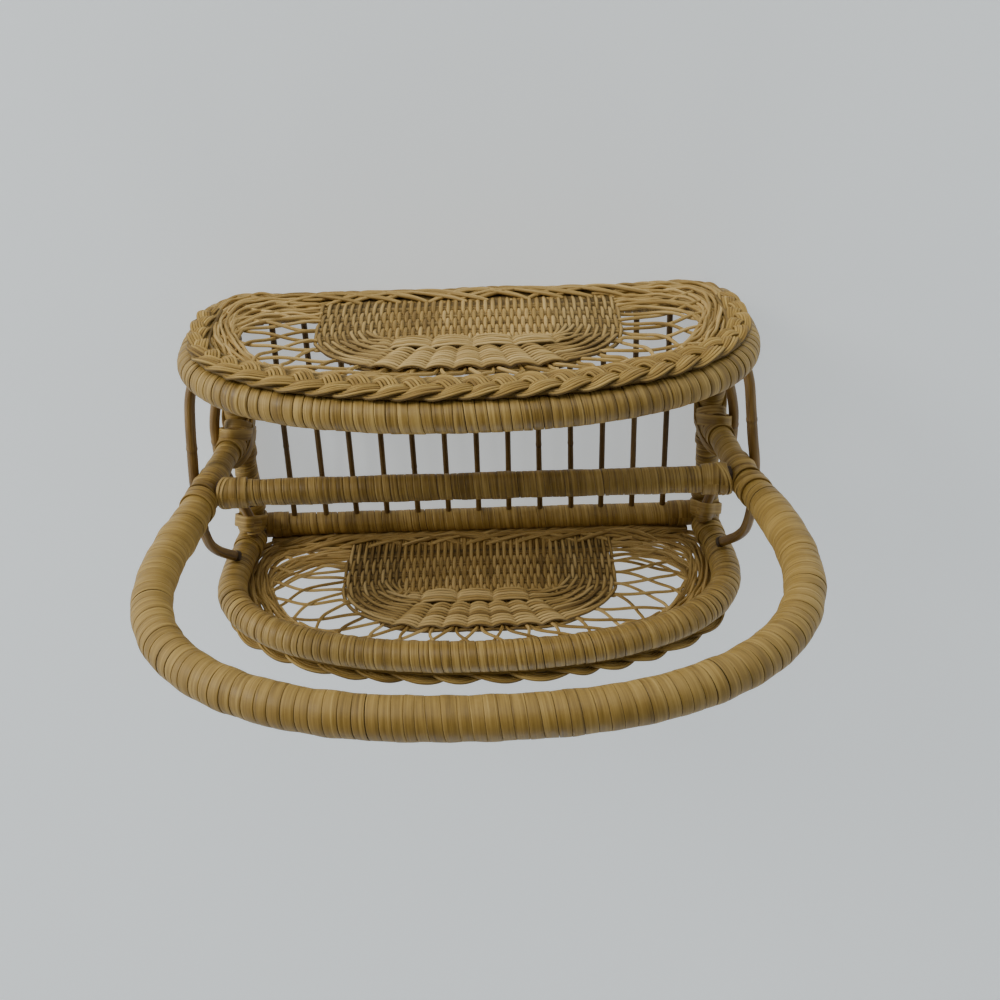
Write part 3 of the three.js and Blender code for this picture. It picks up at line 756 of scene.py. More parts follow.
# ---- border along the straight edge --------------------------------------
ROLL_Y, ROLL_Z = 98.9, 14.8
SHEET_Y = 99.8               # middle plane of the weave; it rises a little towards the plait


def to3(xzh, side):
    return np.stack([xzh[:, 0], side * (SHEET_Y + xzh[:, 2]), xzh[:, 1]], 1)


def border(body, side, seed):
    x = np.arange(156, -156.1, -1.5)
    s = 156 - x
    cy = ROLL_Y + 0.5 * Wave(seed, 90)(s) + 3.0 * (x / 156) ** 8
    cz = ROLL_Z + 0.6 * Wave(seed + 1, 80)(s) + 3.0 * (x / 156) ** 8
    ends = smooth(s / 16) * smooth((312 - s) / 16)
    for j in range(3):
        ang = TAU * (s / 68 + j / 3 + 0.05 * Wave(seed + 2, 120)(s)) + 0.3 * Wave(seed + 3 + j, 70)(s)
        rad = (2.9 + 0.3 * Wave(seed + 9 + j, 40)(s)) * (0.4 + 0.6 * ends)
        oy, oz = np.cos(ang) * rad, np.sin(ang) * rad
        for k in (-1, 0, 1):
            spread = 2.1 * k * (0.6 + 0.4 * ends)
            q = np.stack([x, side * (cy + oy - np.sin(ang) * spread), cz + oz + np.cos(ang) * spread], 1)
            q[:, 1] += 0.15 * Wave(seed + 31 + 3 * j + k, 22)(s)
            body.tube(relax(q, 1), 1.36, sides=8, seed=seed % 9 + 3 * j + k, shade=0.14, groove_shade=0.5,
                      tone=0.8 * Wave(seed + 50 + 3 * j + k, 110)(s) - 0.1)
    for j, (yy, zz) in enumerate(((97.4, 11.4), (98.3, 13.4), (97.2, 15.6))):
        xx = np.linspace(157.0, -157.0, 130)
        q = np.stack([xx, side * (yy + 0.4 * Wave(seed + 70 + j, 60)(xx)), zz + 0.5 * Wave(seed + 75 + j, 55)(xx)], 1)
        body.tube(q, 1.45, sides=8, seed=j + 11, up=(0, side, 0), shade=0.25, tone=0.6 * Wave(seed + 80 + j, 90)(xx))
    # paired reeds that arch over the ends of the upright strands, on both faces
    g_ = np.random.default_rng(seed)
    for face in (1, -1):
        for i, xa in enumerate(np.arange(-118, 82, 22.0)):
            xa = xa + g_.uniform(-4, 4)
            tall, low = g_.uniform(-1.2, 0.8), g_.uniform(-1.5, 0.5)
            span = g_.uniform(0.95, 1.35)
            for k in (0, 1):
                ctrl = np.array([[-7, 27.5 + 1.2 * k + low, 0.2], [0, 25.2 + tall + 1.5 * k, 2.4], [9, 21.6 + tall + 2.1 * k, 3.4],
                                 [20, 17.6 + 0.6 * tall + 2.3 * k, 4.0], [31, 17.0 + 2.3 * k, 4.1],
                                 [42, 19.8 - tall + 2.1 * k, 3.2], [50, 23.6 - tall + 1.6 * k, 1.8], [56, 27.5 + low + k, 0.0]])
                ctrl[:, 0] = xa + span * ctrl[:, 0]
                ctrl[:, 2] *= face
                if face < 0:
                    ctrl[:, 0] *= -1
                q = spline(ctrl, 1.2)
                body.tube(to3(q, side), 1.22, sides=8, seed=i + k + 30, up=(0, side, 0), shade=0.1, groove_shade=0.4,
                          tone=0.5 * g_.standard_normal())


# ---- woven sides ----------------------------------------------------------
ROWS = 5                     # stake pairs across the panel
SPOKE_X, HALF_SPOKES = 4.9, 11
LEG_X, LEG_PITCH, LEGS = 57.6, 2.5, 17
CROWN_Z, CROWN_PITCH = 126.0, 2.9
SUNK = 3                     # innermost weavers that pass behind the crown's inner bundle
FOOT = 17.0
SPLAY = 8.7                  # distance between spoke tips along the mat's edge
R_WEAVE, R_STAKE = 1.36, 1.16
LIFT = 1.5                   # how far a strand in the mat bends over and under the rows
BUNDLE = 8                   # weavers in the crown's inner bundle
CRESTS = {-1: 10.0, 1: 3.0}  # where one of the inner bundle's crests lies, front and rear
CREST_PITCH = 24.0


def row_z(r, x):
    return 38 + r * (11.6 + 2.2 * (np.asarray(x, float) / 95.0) ** 2)


def u_half(k):
    """x, z of weaver k from its foot to the middle of its crown, on the +X half."""
    x = LEG_X + LEG_PITCH * k
    z = CROWN_Z - CROWN_PITCH * (LEGS - 1 - max(k, SUNK)) - (0.7 if k < BUNDLE else 0.0)
    f = k / (LEGS - 1)
    rx, rz = 15 + 51 * f, 12 + 36 * f
    zl = np.linspace(FOOT, z - rz, 40)
    leg = np.stack([x - 0.8 * ((zl - 62) / 40) ** 2 * (zl < 62), zl], 1)
    a = np.linspace(0, math.pi / 2, 50)[1:]
    e = 2 / 1.95
    corner = np.stack([x - rx + rx * np.cos(a) ** e, z - rz + rz * np.sin(a) ** e], 1)
    corner[-1] = [x - rx, z - 0.3]
    xt = np.linspace(x - rx, 0, 30)[1:]
    top = np.stack([xt, z - 0.3 + 0.3 * (1 - (xt / (x - rx)) ** 2)], 1)
    return np.vstack([leg, corner, top])


EDGE = resample(u_half(LEGS - 1), 0.5)[0]
_t = tangents(EDGE)
EDGE = EDGE + np.stack([_t[:, 1], -_t[:, 0]], 1) * 1.2
EDGE_S = np.concatenate([[0], np.cumsum(np.linalg.norm(np.diff(EDGE, axis=0), axis=1))])
MID = 10.0                   # pair number at the crown's middle
_rows = [float(np.interp(row_z(r, 98), EDGE[:150, 1], EDGE_S[:150])) for r in range(ROWS)]
_EDGE_V = [-3, -2, -1] + list(range(ROWS)) + [MID - m for m in (5, 4, 3, 2, 1, 0)]
_EDGE_K = [_rows[0] - 16.5, _rows[0] - 14, _rows[0] - 9] + _rows + [EDGE_S[-1] - 2 * SPLAY * m for m in (5, 4, 3, 2, 1, 0)]
# outer ends of the open work, where it slips under the plait
_RIM = np.array([[100, 17.5], [122, 18], [143, 21], [153, 33], [155.0, 49], [153.0, 66.5], [147.5, 87.5], [138, 107],
                 [121, 121.5], [100, 131.5], [77, 138], [52, 142], [26, 144], [0, 144.5], [-26, 144]])


def edge_pos(v):
    v = np.asarray(v, float)
    flip = v > MID
    s = np.interp(np.where(flip, 2 * MID - v, v), _EDGE_V, _EDGE_K)
    x, z = np.interp(s, EDGE_S, EDGE[:, 0]), np.interp(s, EDGE_S, EDGE[:, 1])
    return np.stack([np.where(flip, -x, x), z], -1)


def inner_pos(v):
    v = np.asarray(v, float)
    flip = v > MID
    w = np.clip(np.where(flip, 2 * MID - v, v) + 3, 0, len(_RIM) - 1.001)
    i = w.astype(int)
    u = (w - i)[..., None]
    a, b, c, d = (_RIM[np.clip(i + o, 0, len(_RIM) - 1)] for o in (-1, 0, 1, 2))
    p = 0.5 * (2 * b + (c - a) * u + (2 * a - 5 * b + 4 * c - d) * u ** 2 + (3 * b - a - 3 * c + d) * u ** 3)
    p[..., 0] = np.where(flip, -p[..., 0], p[..., 0])
    return p


def lattice(v0, sign, seed):
    """x, z, height of one stake from the mat's edge out to the plait."""
    depth = float(np.linalg.norm(inner_pos(v0) - edge_pos(v0)))
    n = int((depth + 9) / 1.0)
    q = np.linspace(0, (depth + 8) / depth, n)
    f = 0.07 + 0.55 * q + 0.72 * q * q if v0 < 4.5 or v0 > 15.5 else 0.07 + 0.66 * q + 0.28 * q * q
    v = v0 + sign * f
    p = edge_pos(v) * (1 - q)[:, None] + inner_pos(v) * q[:, None]
    rho = q * depth
    g1, g2 = Wave(seed, 34), Wave(seed + 1, 38)
    p = p + 0.42 * np.stack([g1(rho), g2(rho)], 1) * smooth(rho / 12)[:, None]
    h = sign * 1.15 * np.cos(TAU * (f - 0.07)) * (1 - 0.4 * smooth((q - 0.8) / 0.2)) + 2.6 * smooth(q)
    sink = smooth((rho - depth) / 7)
    return np.column_stack([p, h - 1.2 * sink])


def spoke(n, d):
    """x, z of one reed of the radial pair n from its foot to the crown's edge; d is 1, -1, or 0 for the middle."""
    tip = edge_pos(MID - n / 2.0)
    x0 = SPOKE_X * n
    start = np.array([x0 + 0.05 * (tip[0] - x0), 87.0])
    ctrl = [[x0, FOOT], [x0, 50], [x0, 78], list(start)] + [list(start + (tip - start) * u) for u in (0.33, 0.66, 1.0)]
    p = spline(ctrl, 1.0)
    t = tangents(p)
    return p + np.stack([t[:, 1], -t[:, 0]], 1) * (1.2 * d)


def cross_at(a, sa, b):
    """Length along polyline a where polyline b first crosses it, or None."""
    r = np.diff(a, axis=0)[:, None]
    s = np.diff(b, axis=0)[None]
    d = b[:-1][None] - a[:-1][:, None]
    den = r[..., 0] * s[..., 1] - r[..., 1] * s[..., 0]
    ok = np.abs(den) > 1e-9
    den = np.where(ok, den, 1)
    t = (d[..., 0] * s[..., 1] - d[..., 1] * s[..., 0]) / den
    u = (d[..., 0] * r[..., 1] - d[..., 1] * r[..., 0]) / den
    hit = np.argwhere(ok & (t >= 0) & (t < 1) & (u >= 0) & (u < 1))
    if not len(hit):
        return None
    i = hit[0][0]
    return float(sa[i] + t[hit[0][0], hit[0][1]] * (sa[i + 1] - sa[i]))


SPINES = {n: spoke(n, 0)[::2] for n in range(0, HALF_SPOKES + 1)}


def crown_valleys(k, side, half, hs, total):
    """Lengths along the full path of weaver k where its crests meet over the crown."""
    out = []
    if k < BUNDLE:
        top = half[:, 1] > half[-1, 1] - 0.6 * (half[-1, 1] - 60)
        for i in range(-4, 5):
            x = CRESTS[side] + (i + 0.5) * CREST_PITCH * (1 + 0.012 * k)
            if abs(x) > half[0, 0] - 13:
                continue
            at = float(np.interp(-abs(x), -half[top][:, 0], hs[top]))
            out.append(at if x > 0 else total - at)
    else:
        for n in (7, 5, 3, 1):
            at = cross_at(half, hs, SPINES[n])
            if at is not None:
                out += [at, total - at]
    return sorted(out)


def weavers(body, side, seed):
    rg = np.random.default_rng(seed)
    par = 1 if side < 0 else -1
    xs = np.linspace(0.5, 99.5, 60)
    for k in range(LEGS):
        half = u_half(k)
        hp, hs = resample(half, 1.1)
        total = 2 * hs[-1]
        rows = []
        for r in range(ROWS):
            at = cross_at(hp, hs, np.stack([xs, row_z(r, xs)], 1))
            if at is not None:
                rows.append((at, r))
        valleys = crown_valleys(k, side, hp, hs, total)
        p = np.vstack([hp, hp[-2::-1] * [-1, 1]])
        s = np.concatenate([hs, total - hs[-2::-1]])
        jit = 0.20 * (1 - 0.6 * smooth((p[:, 1] - 84) / 12))
        # each weaver lies on the side that is looked at; a second one keeps to the back of the crown
        for face in (1, -1):
            w = 3.0 if k < BUNDLE else 2.4
            hi, lo, arc = (3.7, 0.4, 2.8) if face > 0 else (-2.8, -1.5, -2.4)
            if k >= BUNDLE:
                hi, arc = hi * 0.92, arc * 0.9
            if k < SUNK:
                hi, lo, arc = (0.6, -0.6, 0.2) if face > 0 else (-2.0, -1.2, -1.8)
            knots, vals = [], []
            if face > 0:
                for at, r in rows:
                    if at < valleys[0] - 5:
                        knots.append(at), vals.append(LIFT * (-1) ** (24 + k + r))
            first, last = valleys[0], valleys[-1]
            for i, v in enumerate(valleys):
                if i:
                    knots.append((v + valleys[i - 1]) / 2), vals.append(hi * par)
                if i == 0:
                    knots.append(v - w - 4), vals.append(arc * 0.6 * par)
                knots.append(v - w), vals.append(arc * par * (1 if i else 0.8))
                knots.append(v), vals.append(lo * par)
                knots.append(v + w), vals.append(arc * par * (1 if i < len(valleys) - 1 else 0.8))
            knots.append(last + w + 4), vals.append(arc * 0.6 * par)
            if face > 0:
                for at, r in reversed(rows):
                    if total - at > last + 5:
                        knots.append(total - at), vals.append(LIFT * (-1) ** (-23 - k + r))
                knots, vals = [0.0] + knots + [total], [-1.5] + vals + [-1.5]
            order = np.argsort(knots, kind="stable")
            knots, vals = np.array(knots)[order], np.array(vals)[order]
            keep = np.ones(len(s), bool) if face > 0 else (s > knots[0] - 4) & (s < knots[-1] + 4)
            sk, pk = s[keep], p[keep]
            h = ease(sk, knots, vals)
            over = np.clip((h * par * face - 1.2) / 1.8, 0, 1) * smooth((sk - first) / 4) * smooth((last - sk) / 4)
            pk = pk + jit[keep][:, None] * np.stack([Wave(seed + k, 33)(sk), Wave(seed + k + 50, 40)(sk)], 1)
            # strands draw together where they pass under
            inside = smooth((sk - first) / 5) * smooth((last - sk) / 5)
            drawn = (k - (SUNK + BUNDLE - 1) / 2) * CROWN_PITCH * 0.24 * (1 - over) * inside * (SUNK <= k < BUNDLE)
            pk = pk - np.stack([0 * over, 0.7 * over + drawn], 1)
            h = h + 0.2 * Wave(seed + k + 100, 26)(sk)
            r = (R_WEAVE + 0.02 * inside) * (1 + 0.05 * Wave(seed + k + 150, 80)(sk))
            q = relax(to3(np.column_stack([pk, h]), side), 2)
            # painted shade: a strand darkens where it dips under (low h), and groove_shade darkens its sides
            body.tube(q, r, sides=8, seed=k + (40 if face < 0 else 0), up=(0, side, 0), flat=0.93,
                      tone=0.9 * Wave(seed + k + 200 + face, 130)(sk) + 0.6 * rg.standard_normal() + (1.0 * inside if face > 0 else -0.6),
                      shade=np.clip(0.22 - 0.08 * h * par * face, 0, 0.6), groove_shade=1.0)


def stakes(body, side, seed):
    rg = np.random.default_rng(seed)
    par = 1 if side < 0 else -1
    # rows across the mat, each a pair of reeds that part into the open work
    for r in range(ROWS):
        for d in (-1, 1):
            x = np.arange(97.5, -97.6, -1.1)
            z = row_z(r, x) + d * 1.2 + 0.3 * Wave(seed + 7 * r + d, 60)(x)
            h = 0.25 * Wave(seed + 9 * r + d, 30)(x)
            a = lattice(r, d, seed + 11 * r + d)
            c = lattice(2 * MID - r, -d, seed + 17 * r + d + 200)
            path = np.vstack([a[::-1], np.column_stack([x, z, h]), c])
            path = relax(resample(path, 1.15)[0], 6)
            s = np.arange(len(path)) * 1.15
            # painted shade: the rows are darker inside the mat, where the upright strands cover them, and lighter in
            # the open work
            body.tube(to3(path, side), R_STAKE * (1 + 0.05 * Wave(seed + 31 * r + d, 70)(s)), sides=8, seed=r * 2 + d + 3,
                      up=(0, side, 0), tone=0.8 * Wave(seed + 41 * r + d, 120)(s) + 0.4 * rg.standard_normal(),
                      shade=0.12 + 0.38 * smooth((97 - np.abs(path[:, 0])) / 4))
    # upright strands in the middle; they fan out under the crown and every second pair runs on
    for n in range(-HALF_SPOKES, HALF_SPOKES + 1):
        for d in (-1, 1):
            p = spoke(n, d)
            s = np.concatenate([[0], np.cumsum(np.linalg.norm(np.diff(p, axis=0), axis=1))])
            idx = 2 * n + (d > 0)
            knots, vals = [0.0], [-1.5]
            for r in range(ROWS):
                zz = float(row_z(r, SPOKE_X * n))
                if zz < 88.5:
                    knots.append(zz - FOOT), vals.append(LIFT * (-1) ** (idx + r))
            begin = float(np.interp(88.5, p[:, 1], s))
            knots += [begin, begin + 5, s[-1] - 5, s[-1] + 0.1]
            vals += [-0.2 * par, -0.6 * par, -0.6 * par, -0.3 * par]
            h = ease(s, knots, vals)
            path = np.column_stack([p, h])
            if n % 2 == 0 and abs(n) <= 10:
                tail = lattice(MID - n / 2, -d, seed + 300 + 5 * n + d)
                path = np.vstack([path[:-3], tail[1:]])
                path = relax(resample(path, 1.1)[0], 5)
            else:
                path = path[: max(8, len(path) - 3)]
            ss = np.arange(len(path)) * 1.1
            rad = np.interp(path[:, 1], [84, 92], [R_WEAVE, R_STAKE]) * (1 + 0.04 * Wave(seed + 400 + n, 70)(ss))
            body.tube(to3(path, side), rad, sides=8, seed=n + 20, up=(0, side, 0),
                      tone=0.7 * Wave(seed + 430 + 2 * n + d, 120)(ss) + 0.4 * rg.standard_normal(), shade=0.12)


RIM_RUNS = [
    [(94, 27), (118, 25.5), (137, 27), (149, 34), (154, 46), (153, 61), (148.5, 76), (142.5, 91), (136, 103), (128, 112)],
    [(98, 24), (123, 22), (142, 24.5), (153, 32), (157, 45), (156.5, 61), (152, 77), (146, 92), (139.5, 103), (131, 112)],
    [(108, 20), (135, 19.5), (150, 23.5), (158.5, 32), (161, 45), (160.5, 61), (156.5, 78), (150.5, 92), (144, 103), (136, 112)],
    [(118, 17), (142, 16.5), (156, 21), (163, 31), (164.5, 44), (164, 61), (160.5, 78), (155.5, 92), (149.5, 102)],
    [(138, 15.5), (155, 18), (165, 29), (167.5, 43), (167.5, 58), (165, 75), (160.5, 89)],
    [(82, 22), (104, 28.5), (126, 32), (143, 41), (151, 54), (153, 67), (150, 80)],
    [(96, 32), (113, 33), (131, 39), (146, 51), (152.5, 63), (151, 76)],
    [(97, 43), (117, 42), (136, 47), (149, 59), (152.5, 71)],
    [(97, 46), (112, 45.5), (131, 50), (146, 62), (151, 75)],
    [(88, 20), (108, 23), (130, 25.5), (146, 33), (154.5, 46), (155, 62), (151, 79), (144, 93), (137, 104)],
    [(97, 30), (116, 29.5), (136, 34), (149, 44), (154, 58), (151.5, 72), (146, 85)],
    [(97, 36), (114, 37), (132, 43), (146, 53), (151.5, 66), (149, 80)],
    [(97, 39), (118, 38), (138, 42), (150.5, 52), (154.5, 66), (152, 80)],
    [(97, 50), (113, 48), (130, 53.5), (143, 64), (149, 76)],
    [(120, 13), (145, 12.5), (158, 14.5), (165, 20), (168.5, 30), (169, 44), (168, 60)],
    [(128, 15), (150, 14.2), (160, 17.5), (166, 25), (168.5, 37), (168, 54)],
    [(132, 12), (152, 11.8), (162, 15), (168, 22), (170.5, 32), (170.5, 46)],
    [(104, 17.5), (126, 18), (147, 21), (158, 30), (162, 43), (162.5, 60), (159, 77), (153, 91), (147, 103)],
]


def shade_backing(body, side, seed):
    """Flat reeds between the two faces of the weave, darkened (shade 0.8) as painted shade that fills the see-through
    holes with dark.
    """
    leg = u_half(LEGS - 1)
    up_to = leg[: int(np.argmax(leg[:, 1] > 121)) + 1]
    for j, z in enumerate(np.arange(19.0, 119.0, 1.9)):
        edge = float(np.interp(z, up_to[:, 1], up_to[:, 0])) - 3.0
        x = np.linspace(edge, -edge, 14)
        q = np.stack([x, np.full(14, side * SHEET_Y), np.full(14, z)], 1)
        body.tube(q, 1.08, sides=6, seed=j, up=(0, side, 0), flat=0.35, shade=0.8, tone=0.3 * math.sin(j * 2.3))


def rim(body, side, seed):
    """Strands that leave the border, turn the corner and run down inside the plait."""
    rg = np.random.default_rng(seed)
    runs = RIM_RUNS + [[(x + 1.9, z + 1.0) for x, z in RIM_RUNS[j]] for j in (0, 1, 2, 3, 9, -1)] + \
        [[(x - 1.8, z + 1.6) for x, z in RIM_RUNS[j]] for j in (2, 3, 4, 6, -1)]
    for sx in (1, -1):
        for j, run in enumerate(runs):
            jig = rg.normal(0, 0.7, (len(run), 2))
            p = spline((np.array(run, float) + jig) * [sx, 1], 1.15)
            s = np.arange(len(p)) * 1.15
            out = smooth((np.abs(p[:, 0]) - 100) / 45)
            h = 2.2 * out + 0.9 * Wave(seed + 30 + 3 * j + sx, 28)(s) + (0.9 if j % 2 else -0.5) + (1.2 if j < 5 else 0) - (1.3 if j > 17 else 0)
            end = smooth((s[-1] - s) / 10)
            h = h * end + 1.6 * (1 - end)
            body.tube(to3(np.column_stack([p, h]), side), 1.16, sides=8, seed=j + 80, up=(0, side, 0),
                      tone=0.8 * Wave(seed + 70 + 2 * j + sx, 90)(s) + 0.4 * rg.standard_normal(), shade=0.12)
        # loose strands along the crown, just inside the plait
        for j, (a, b, off) in enumerate(((3.4, 7.6, 3.0), (6.2, 10.8, 2.2), (4.6, 8.8, 5.0))):
            v = np.linspace(a, b, 60)
            q = inner_pos(v)
            t = tangents(q)
            q = q + np.stack([-t[:, 1], t[:, 0]], 1) * (off + 1.0 * np.sin(v * 2.1 + j))[:, None]
            q = resample(q * [sx, 1], 1.15)[0]
            s = np.arange(len(q)) * 1.15
            h = 2.0 + 1.2 * Wave(seed + 140 + j, 24)(s)
            body.tube(to3(np.column_stack([relax(q, 4), h]), side), 1.12, sides=8, seed=j + 120, up=(0, side, 0),
                      tone=0.8 * Wave(seed + 150 + 2 * j + sx, 90)(s), shade=0.15)


for k, (name, side) in enumerate([("front", -1), ("rear", 1)]):
    b = Body()
    plait(b, side, 300 + 97 * k)
    plait_bed_painted_shade(b, side, 340 + 97 * k)
    make(f"{name}_plait", b, "braid", [f"{name}_braid"])
    b = Body()
    border(b, side, 500 + 61 * k)
    make(f"{name}_border", b, "mat", [f"{name}_border_roll"])
    b = Body()
    weavers(b, side, 700 + 31 * k)
    make(f"{name}_weavers", b, "mat", [f"{name}_mat"])
    b = Body()
    stakes(b, side, 900 + 43 * k)
    shade_backing(b, side, 950 + 43 * k)
    make(f"{name}_stakes", b, "mat")
    b = Body()
    rim(b, side, 1100 + 51 * k)
    make(f"{name}_rim_strands", b, "mat")


# ---- lashings -------------------------------------------------------------
def ring(body, pole, near, tilt=(0, 0, 0), **kw):
    """A band square across a pole at its point nearest to near."""
    i = int(np.argmin(np.linalg.norm(pole.p - np.array(near, float), axis=1)))
    lash(body, pole.p[i], pole.t[i] + np.array(tilt, float), [pole], **kw)


for k, (name, sx) in enumerate([("left", -1), ("right", 1)]):
    end, handle, cross = poles[f"{name}_end"], poles["handle"], poles["crossbar"]
    foot = np.array([sx * (FOOT_X + 0.5), 0, 17.5])
    axis = unit(np.array([sx * LEAN, 0, 1.0]))
    b = Body()
    for i, y in enumerate((-23.0, -16.5, -10.0, 10.0, 16.5, 23.0)):
        lash(b, [sx * END_X, y, Z_BASE], [0, 1, 0.08 * (-1) ** i], [end], lift=0.1 + 0.3 * (i % 2), seed=10 * k + i, width=6.8,
             reach=16, tone=0.2 * (-1) ** i, edge=0.4)
    for i, (zz, tilt, w) in enumerate(((13.0, 0.85, 8.5), (14.5, -0.85, 8.5), (16.0, 0.5, 8.0), (18.0, -0.45, 7.5))):
        lash(b, foot + [0, 0, zz - 13], [0.1 * (-1) ** i, 1, tilt], [end, handle], lift=0.4 + 0.35 * i, seed=30 + 10 * k + i,
             width=w, reach=32, tone=0.3 * (-1) ** i, thick=1.0, rounds=30, edge=0.35)
    for i, (d, l, w, lean) in enumerate(((10.5, 0.55, 7.5, 0.34), (16.0, 0.75, 8.2, -0.26), (22.0, 0.5, 7.6, 0.18), (28.0, 0.2, 6.2, -0.10))):
        lash(b, foot + axis * d, axis + [0.1 * lean, lean, 0], [handle], lift=l, seed=50 + 10 * k + i, width=w, reach=18,
             thick=1.0, rounds=12, edge=0.35, tone=0.25 * (-1) ** i)
    make(f"{name}_foot_lash", b, "lash", [f"{name}_foot_lashing"])
    b = Body()
    hub = np.array([sx * (HIP_X - 2.0), 0, CROSS_Z])
    for i, (d, w) in enumerate(((-17.0, 6.4), (-11.0, 6.8), (11.0, 6.8), (17.0, 6.2))):
        lash(b, np.array([sx * HIP_X, 0, CROSS_Z]) + axis * d, axis + [0, 0.12 * (-1) ** i, 0], [handle],
             lift=0.2 + 0.25 * (i % 2), seed=70 + 10 * k + i, width=w, reach=16, edge=0.4)
    for i, x in enumerate((153.5, 159.0, 164.5)):
        lash(b, [sx * x, 0, CROSS_Z], [1, 0.04, 0.06 * (-1) ** i], [cross], lift=0.15 + 0.15 * i, seed=80 + 10 * k + i, width=5.8,
             reach=14, edge=0.4)
    for i, (d, lean, l) in enumerate(((-5.0, 0.30, 0.1), (4.5, -0.25, 0.4))):
        lash(b, hub + axis * d, axis + [0, lean, 0], [handle], lift=l, seed=90 + 10 * k + i, width=7.4,
             reach=16, thick=0.9, edge=0.4, rounds=6, tone=0.2 * (-1) ** i)
    # a thin doubled reed that ties the crossbar's end
    for i in (0, 1):
        lash(b, [sx * (163.0 + 2.3 * i), 0, CROSS_Z + 0.3], [1, 0.10, -0.36 * sx], [cross], lift=0.55, seed=96 + 10 * k + i,
             width=2.2, reach=15, thick=1.0, tone=1.0, edge=0.5)
    make(f"{name}_crossbar_lash", b, "lash", [f"{name}_crossbar_lashing"])
    for edge, s in (("front", -1), ("rear", 1)):
        b = Body()
        arch, base = poles[f"{edge}_arch"], poles[f"{edge}_base"]
        for i, x in enumerate((146.0, 152.0, 158.0)):
            lash(b, [sx * x, s * BASE_Y, Z_BASE], [1, 0.03 * (-1) ** i, 0.05], [base], lift=0.1 + 0.25 * (i % 2),
                 seed=110 + 20 * k + i, width=6.2, reach=14, edge=0.4)
        for i, (y, z, w, lean) in enumerate(((70, 8.5, 7.5, 0.15), (77.5, 10, 8.0, -0.18), (85, 16, 8.5, 0.2), (90.5, 25, 8.0, -0.15),
                                             (91, 33, 7.0, 0.12))):
            ring(b, arch, [sx * END_X, s * y, z], (lean, 0, 0), lift=0.25 + 0.3 * (i % 2), seed=130 + 20 * k + i, width=w,
                 reach=16, edge=0.4, tone=0.2 * (-1) ** i, rounds=8)
        # wide turns that tie the lower bow's end down on the corner
        bow = bows[f"{name}_lower_bow"]
        for i, (total_, w, lean) in enumerate(((85.0, 8.4, 0.12), (91.5, 8.2, -0.14), (88.2, 8.0, 0.16))):
            lash(b, [sx * 168.0, s * (total_ - 10.8), 21.5], [lean, s * 1.0, 0.5], [arch, bow], lift=0.05 + 0.2 * i,
                 seed=150 + 20 * k + i, width=w, reach=22, thick=0.9, edge=0.35, rounds=26, tone=0.25 * (-1) ** i)
        make(f"{edge}_{name}_corner_lash", b, "lash", [f"{edge}_{name}_corner_lashing"])


# ---- floor, light and camera ---------------------------------------------
def plain(name, color, rough, glow):
    m = bpy.data.materials.new(name)
    m.use_nodes = True
    nt = m.node_tree
    bs = nt.nodes["Principled BSDF"]
    bs.inputs["Roughness"].default_value = rough
    bs.inputs["Specular IOR Level"].default_value = 0.15
    tc = nt.nodes.new("ShaderNodeTexCoord")
    ns = nt.nodes.new("ShaderNodeTexNoise")
    ns.inputs["Scale"].default_value = 1.3
    ns.inputs["Detail"].default_value = 2.0
    mx = nt.nodes.new("ShaderNodeMix")
    mx.data_type = "RGBA"
    mx.inputs["A"].default_value = color
    mx.inputs["B"].default_value = tuple(c * 0.94 for c in color[:3]) + (1.0,)
    nt.links.new(tc.outputs["Object"], ns.inputs["Vector"])
    nt.links.new(ns.outputs[0], mx.inputs["Factor"])
    nt.links.new(mx.outputs["Result"], bs.inputs["Base Color"])
    nt.links.new(mx.outputs["Result"], bs.inputs["Emission Color"])
    bs.inputs["Emission Strength"].default_value = glow
    return m


def floor():
    """Pale sweep: flat under the rack, rising far away all round."""
    prof = [(0.0, 0.0), (0.6, 0.0), (1.6, 0.0), (2.6, 0.0)]
    for i in range(1, 13):
        a = i / 12 * math.pi / 2
        prof.append((2.6 + 1.6 * math.sin(a), 1.6 - 1.6 * math.cos(a)))
    prof.append((4.2, 3.4))
    n = 64
    verts = [(0, 0, 0)]
    for r, z in prof[1:]:
        verts += [(r * math.cos(TAU * i / n), r * math.sin(TAU * i / n), z) for i in range(n)]
    faces = [(0, 1 + i, 1 + (i + 1) % n) for i in range(n)]
    for k in range(len(prof) - 2):
        a, b_ = 1 + k * n, 1 + (k + 1) * n
        faces += [(a + i, b_ + i, b_ + (i + 1) % n, a + (i + 1) % n) for i in range(n)]
    me = bpy.data.meshes.new("floor")
    me.from_pydata(verts, [], faces)
    me.shade_smooth()
    me.materials.append(plain("floor_paint", srgb(206, 211, 213), 0.7, 0.76))
    ob = bpy.data.objects.new("floor", me)
    bpy.context.scene.collection.objects.link(ob)


floor()


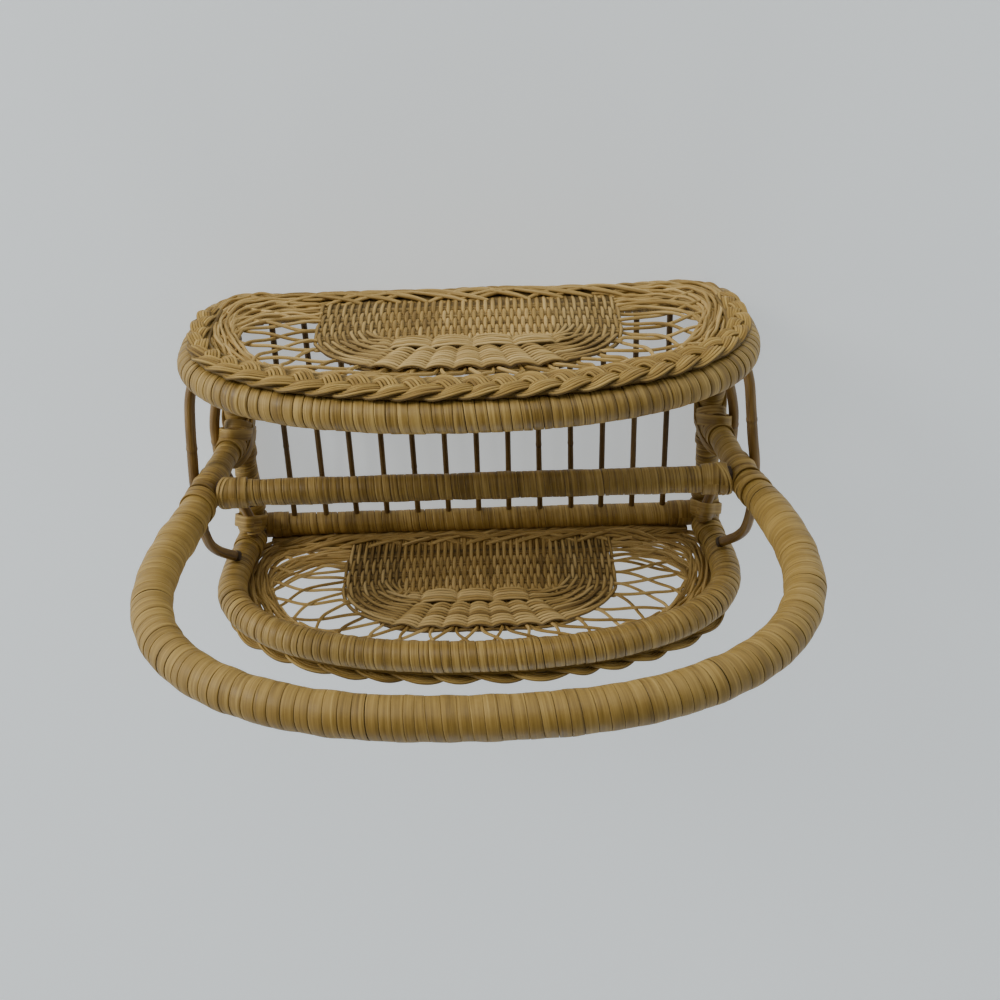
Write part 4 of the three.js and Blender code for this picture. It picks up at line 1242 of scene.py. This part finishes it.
def area(name, loc, target, size, watts, color=(1, 1, 1)):
    ld = bpy.data.lights.new(name, "AREA")
    ld.shape = "DISK"
    ld.size = size
    ld.energy = watts
    ld.color = color
    ob = bpy.data.objects.new(name, ld)
    bpy.context.scene.collection.objects.link(ob)
    back = np.array(loc, float) - np.array(target, float)
    z = back / np.linalg.norm(back)
    x = np.cross([0, 0, 1.0], z)
    x = x / np.linalg.norm(x)
    y = np.cross(z, x)
    ob.matrix_world = Matrix([[x[0], y[0], z[0], loc[0]], [x[1], y[1], z[1], loc[1]], [x[2], y[2], z[2], loc[2]], [0, 0, 0, 1]])


area("key", (2.0, -1.68, 0.84), (0, 0, 0.14), 1.1, 33, (1.0, 0.985, 0.96))
area("front_fill", (0.0, -2.54, 1.06), (0, 0, 0.14), 1.1, 11, (1.0, 0.99, 0.97))
area("side_fill", (2.54, 0.0, 1.06), (0, 0, 0.14), 1.1, 8, (0.98, 0.99, 1.0))
area("back_fill", (0.0, 2.34, 1.49), (0, 0, 0.14), 1.1, 9, (0.98, 0.99, 1.0))

world = bpy.data.worlds.new("studio")
world.use_nodes = True
bg = world.node_tree.nodes["Background"]
bg.inputs["Color"].default_value = (0.80, 0.86, 0.90, 1.0)
bg.inputs["Strength"].default_value = 0.03
bpy.context.scene.world = world

cam = bpy.data.cameras.new("camera")
cam.sensor_width = 36.0
cam.sensor_fit = "HORIZONTAL"
cam.lens = 1.351 * 36.0
cam.clip_start, cam.clip_end = 0.01, 50
cam_ob = bpy.data.objects.new("camera", cam)
bpy.context.scene.collection.objects.link(cam_ob)
CAM_POS = np.array([-0.0218, -0.4802, 0.8591])
CAM_RIGHT = np.array([-0.99955, 0.02773, 0.01154])
CAM_UP = np.array([-0.02954, -0.83837, -0.54430])
fwd = np.cross(CAM_UP, CAM_RIGHT)
cx = CAM_RIGHT / np.linalg.norm(CAM_RIGHT)
cz = -fwd / np.linalg.norm(fwd)
cy = np.cross(cz, cx)
cam_ob.matrix_world = Matrix([[cx[i], cy[i], cz[i], CAM_POS[i]] for i in range(3)] + [[0, 0, 0, 1]])
bpy.context.scene.camera = cam_ob
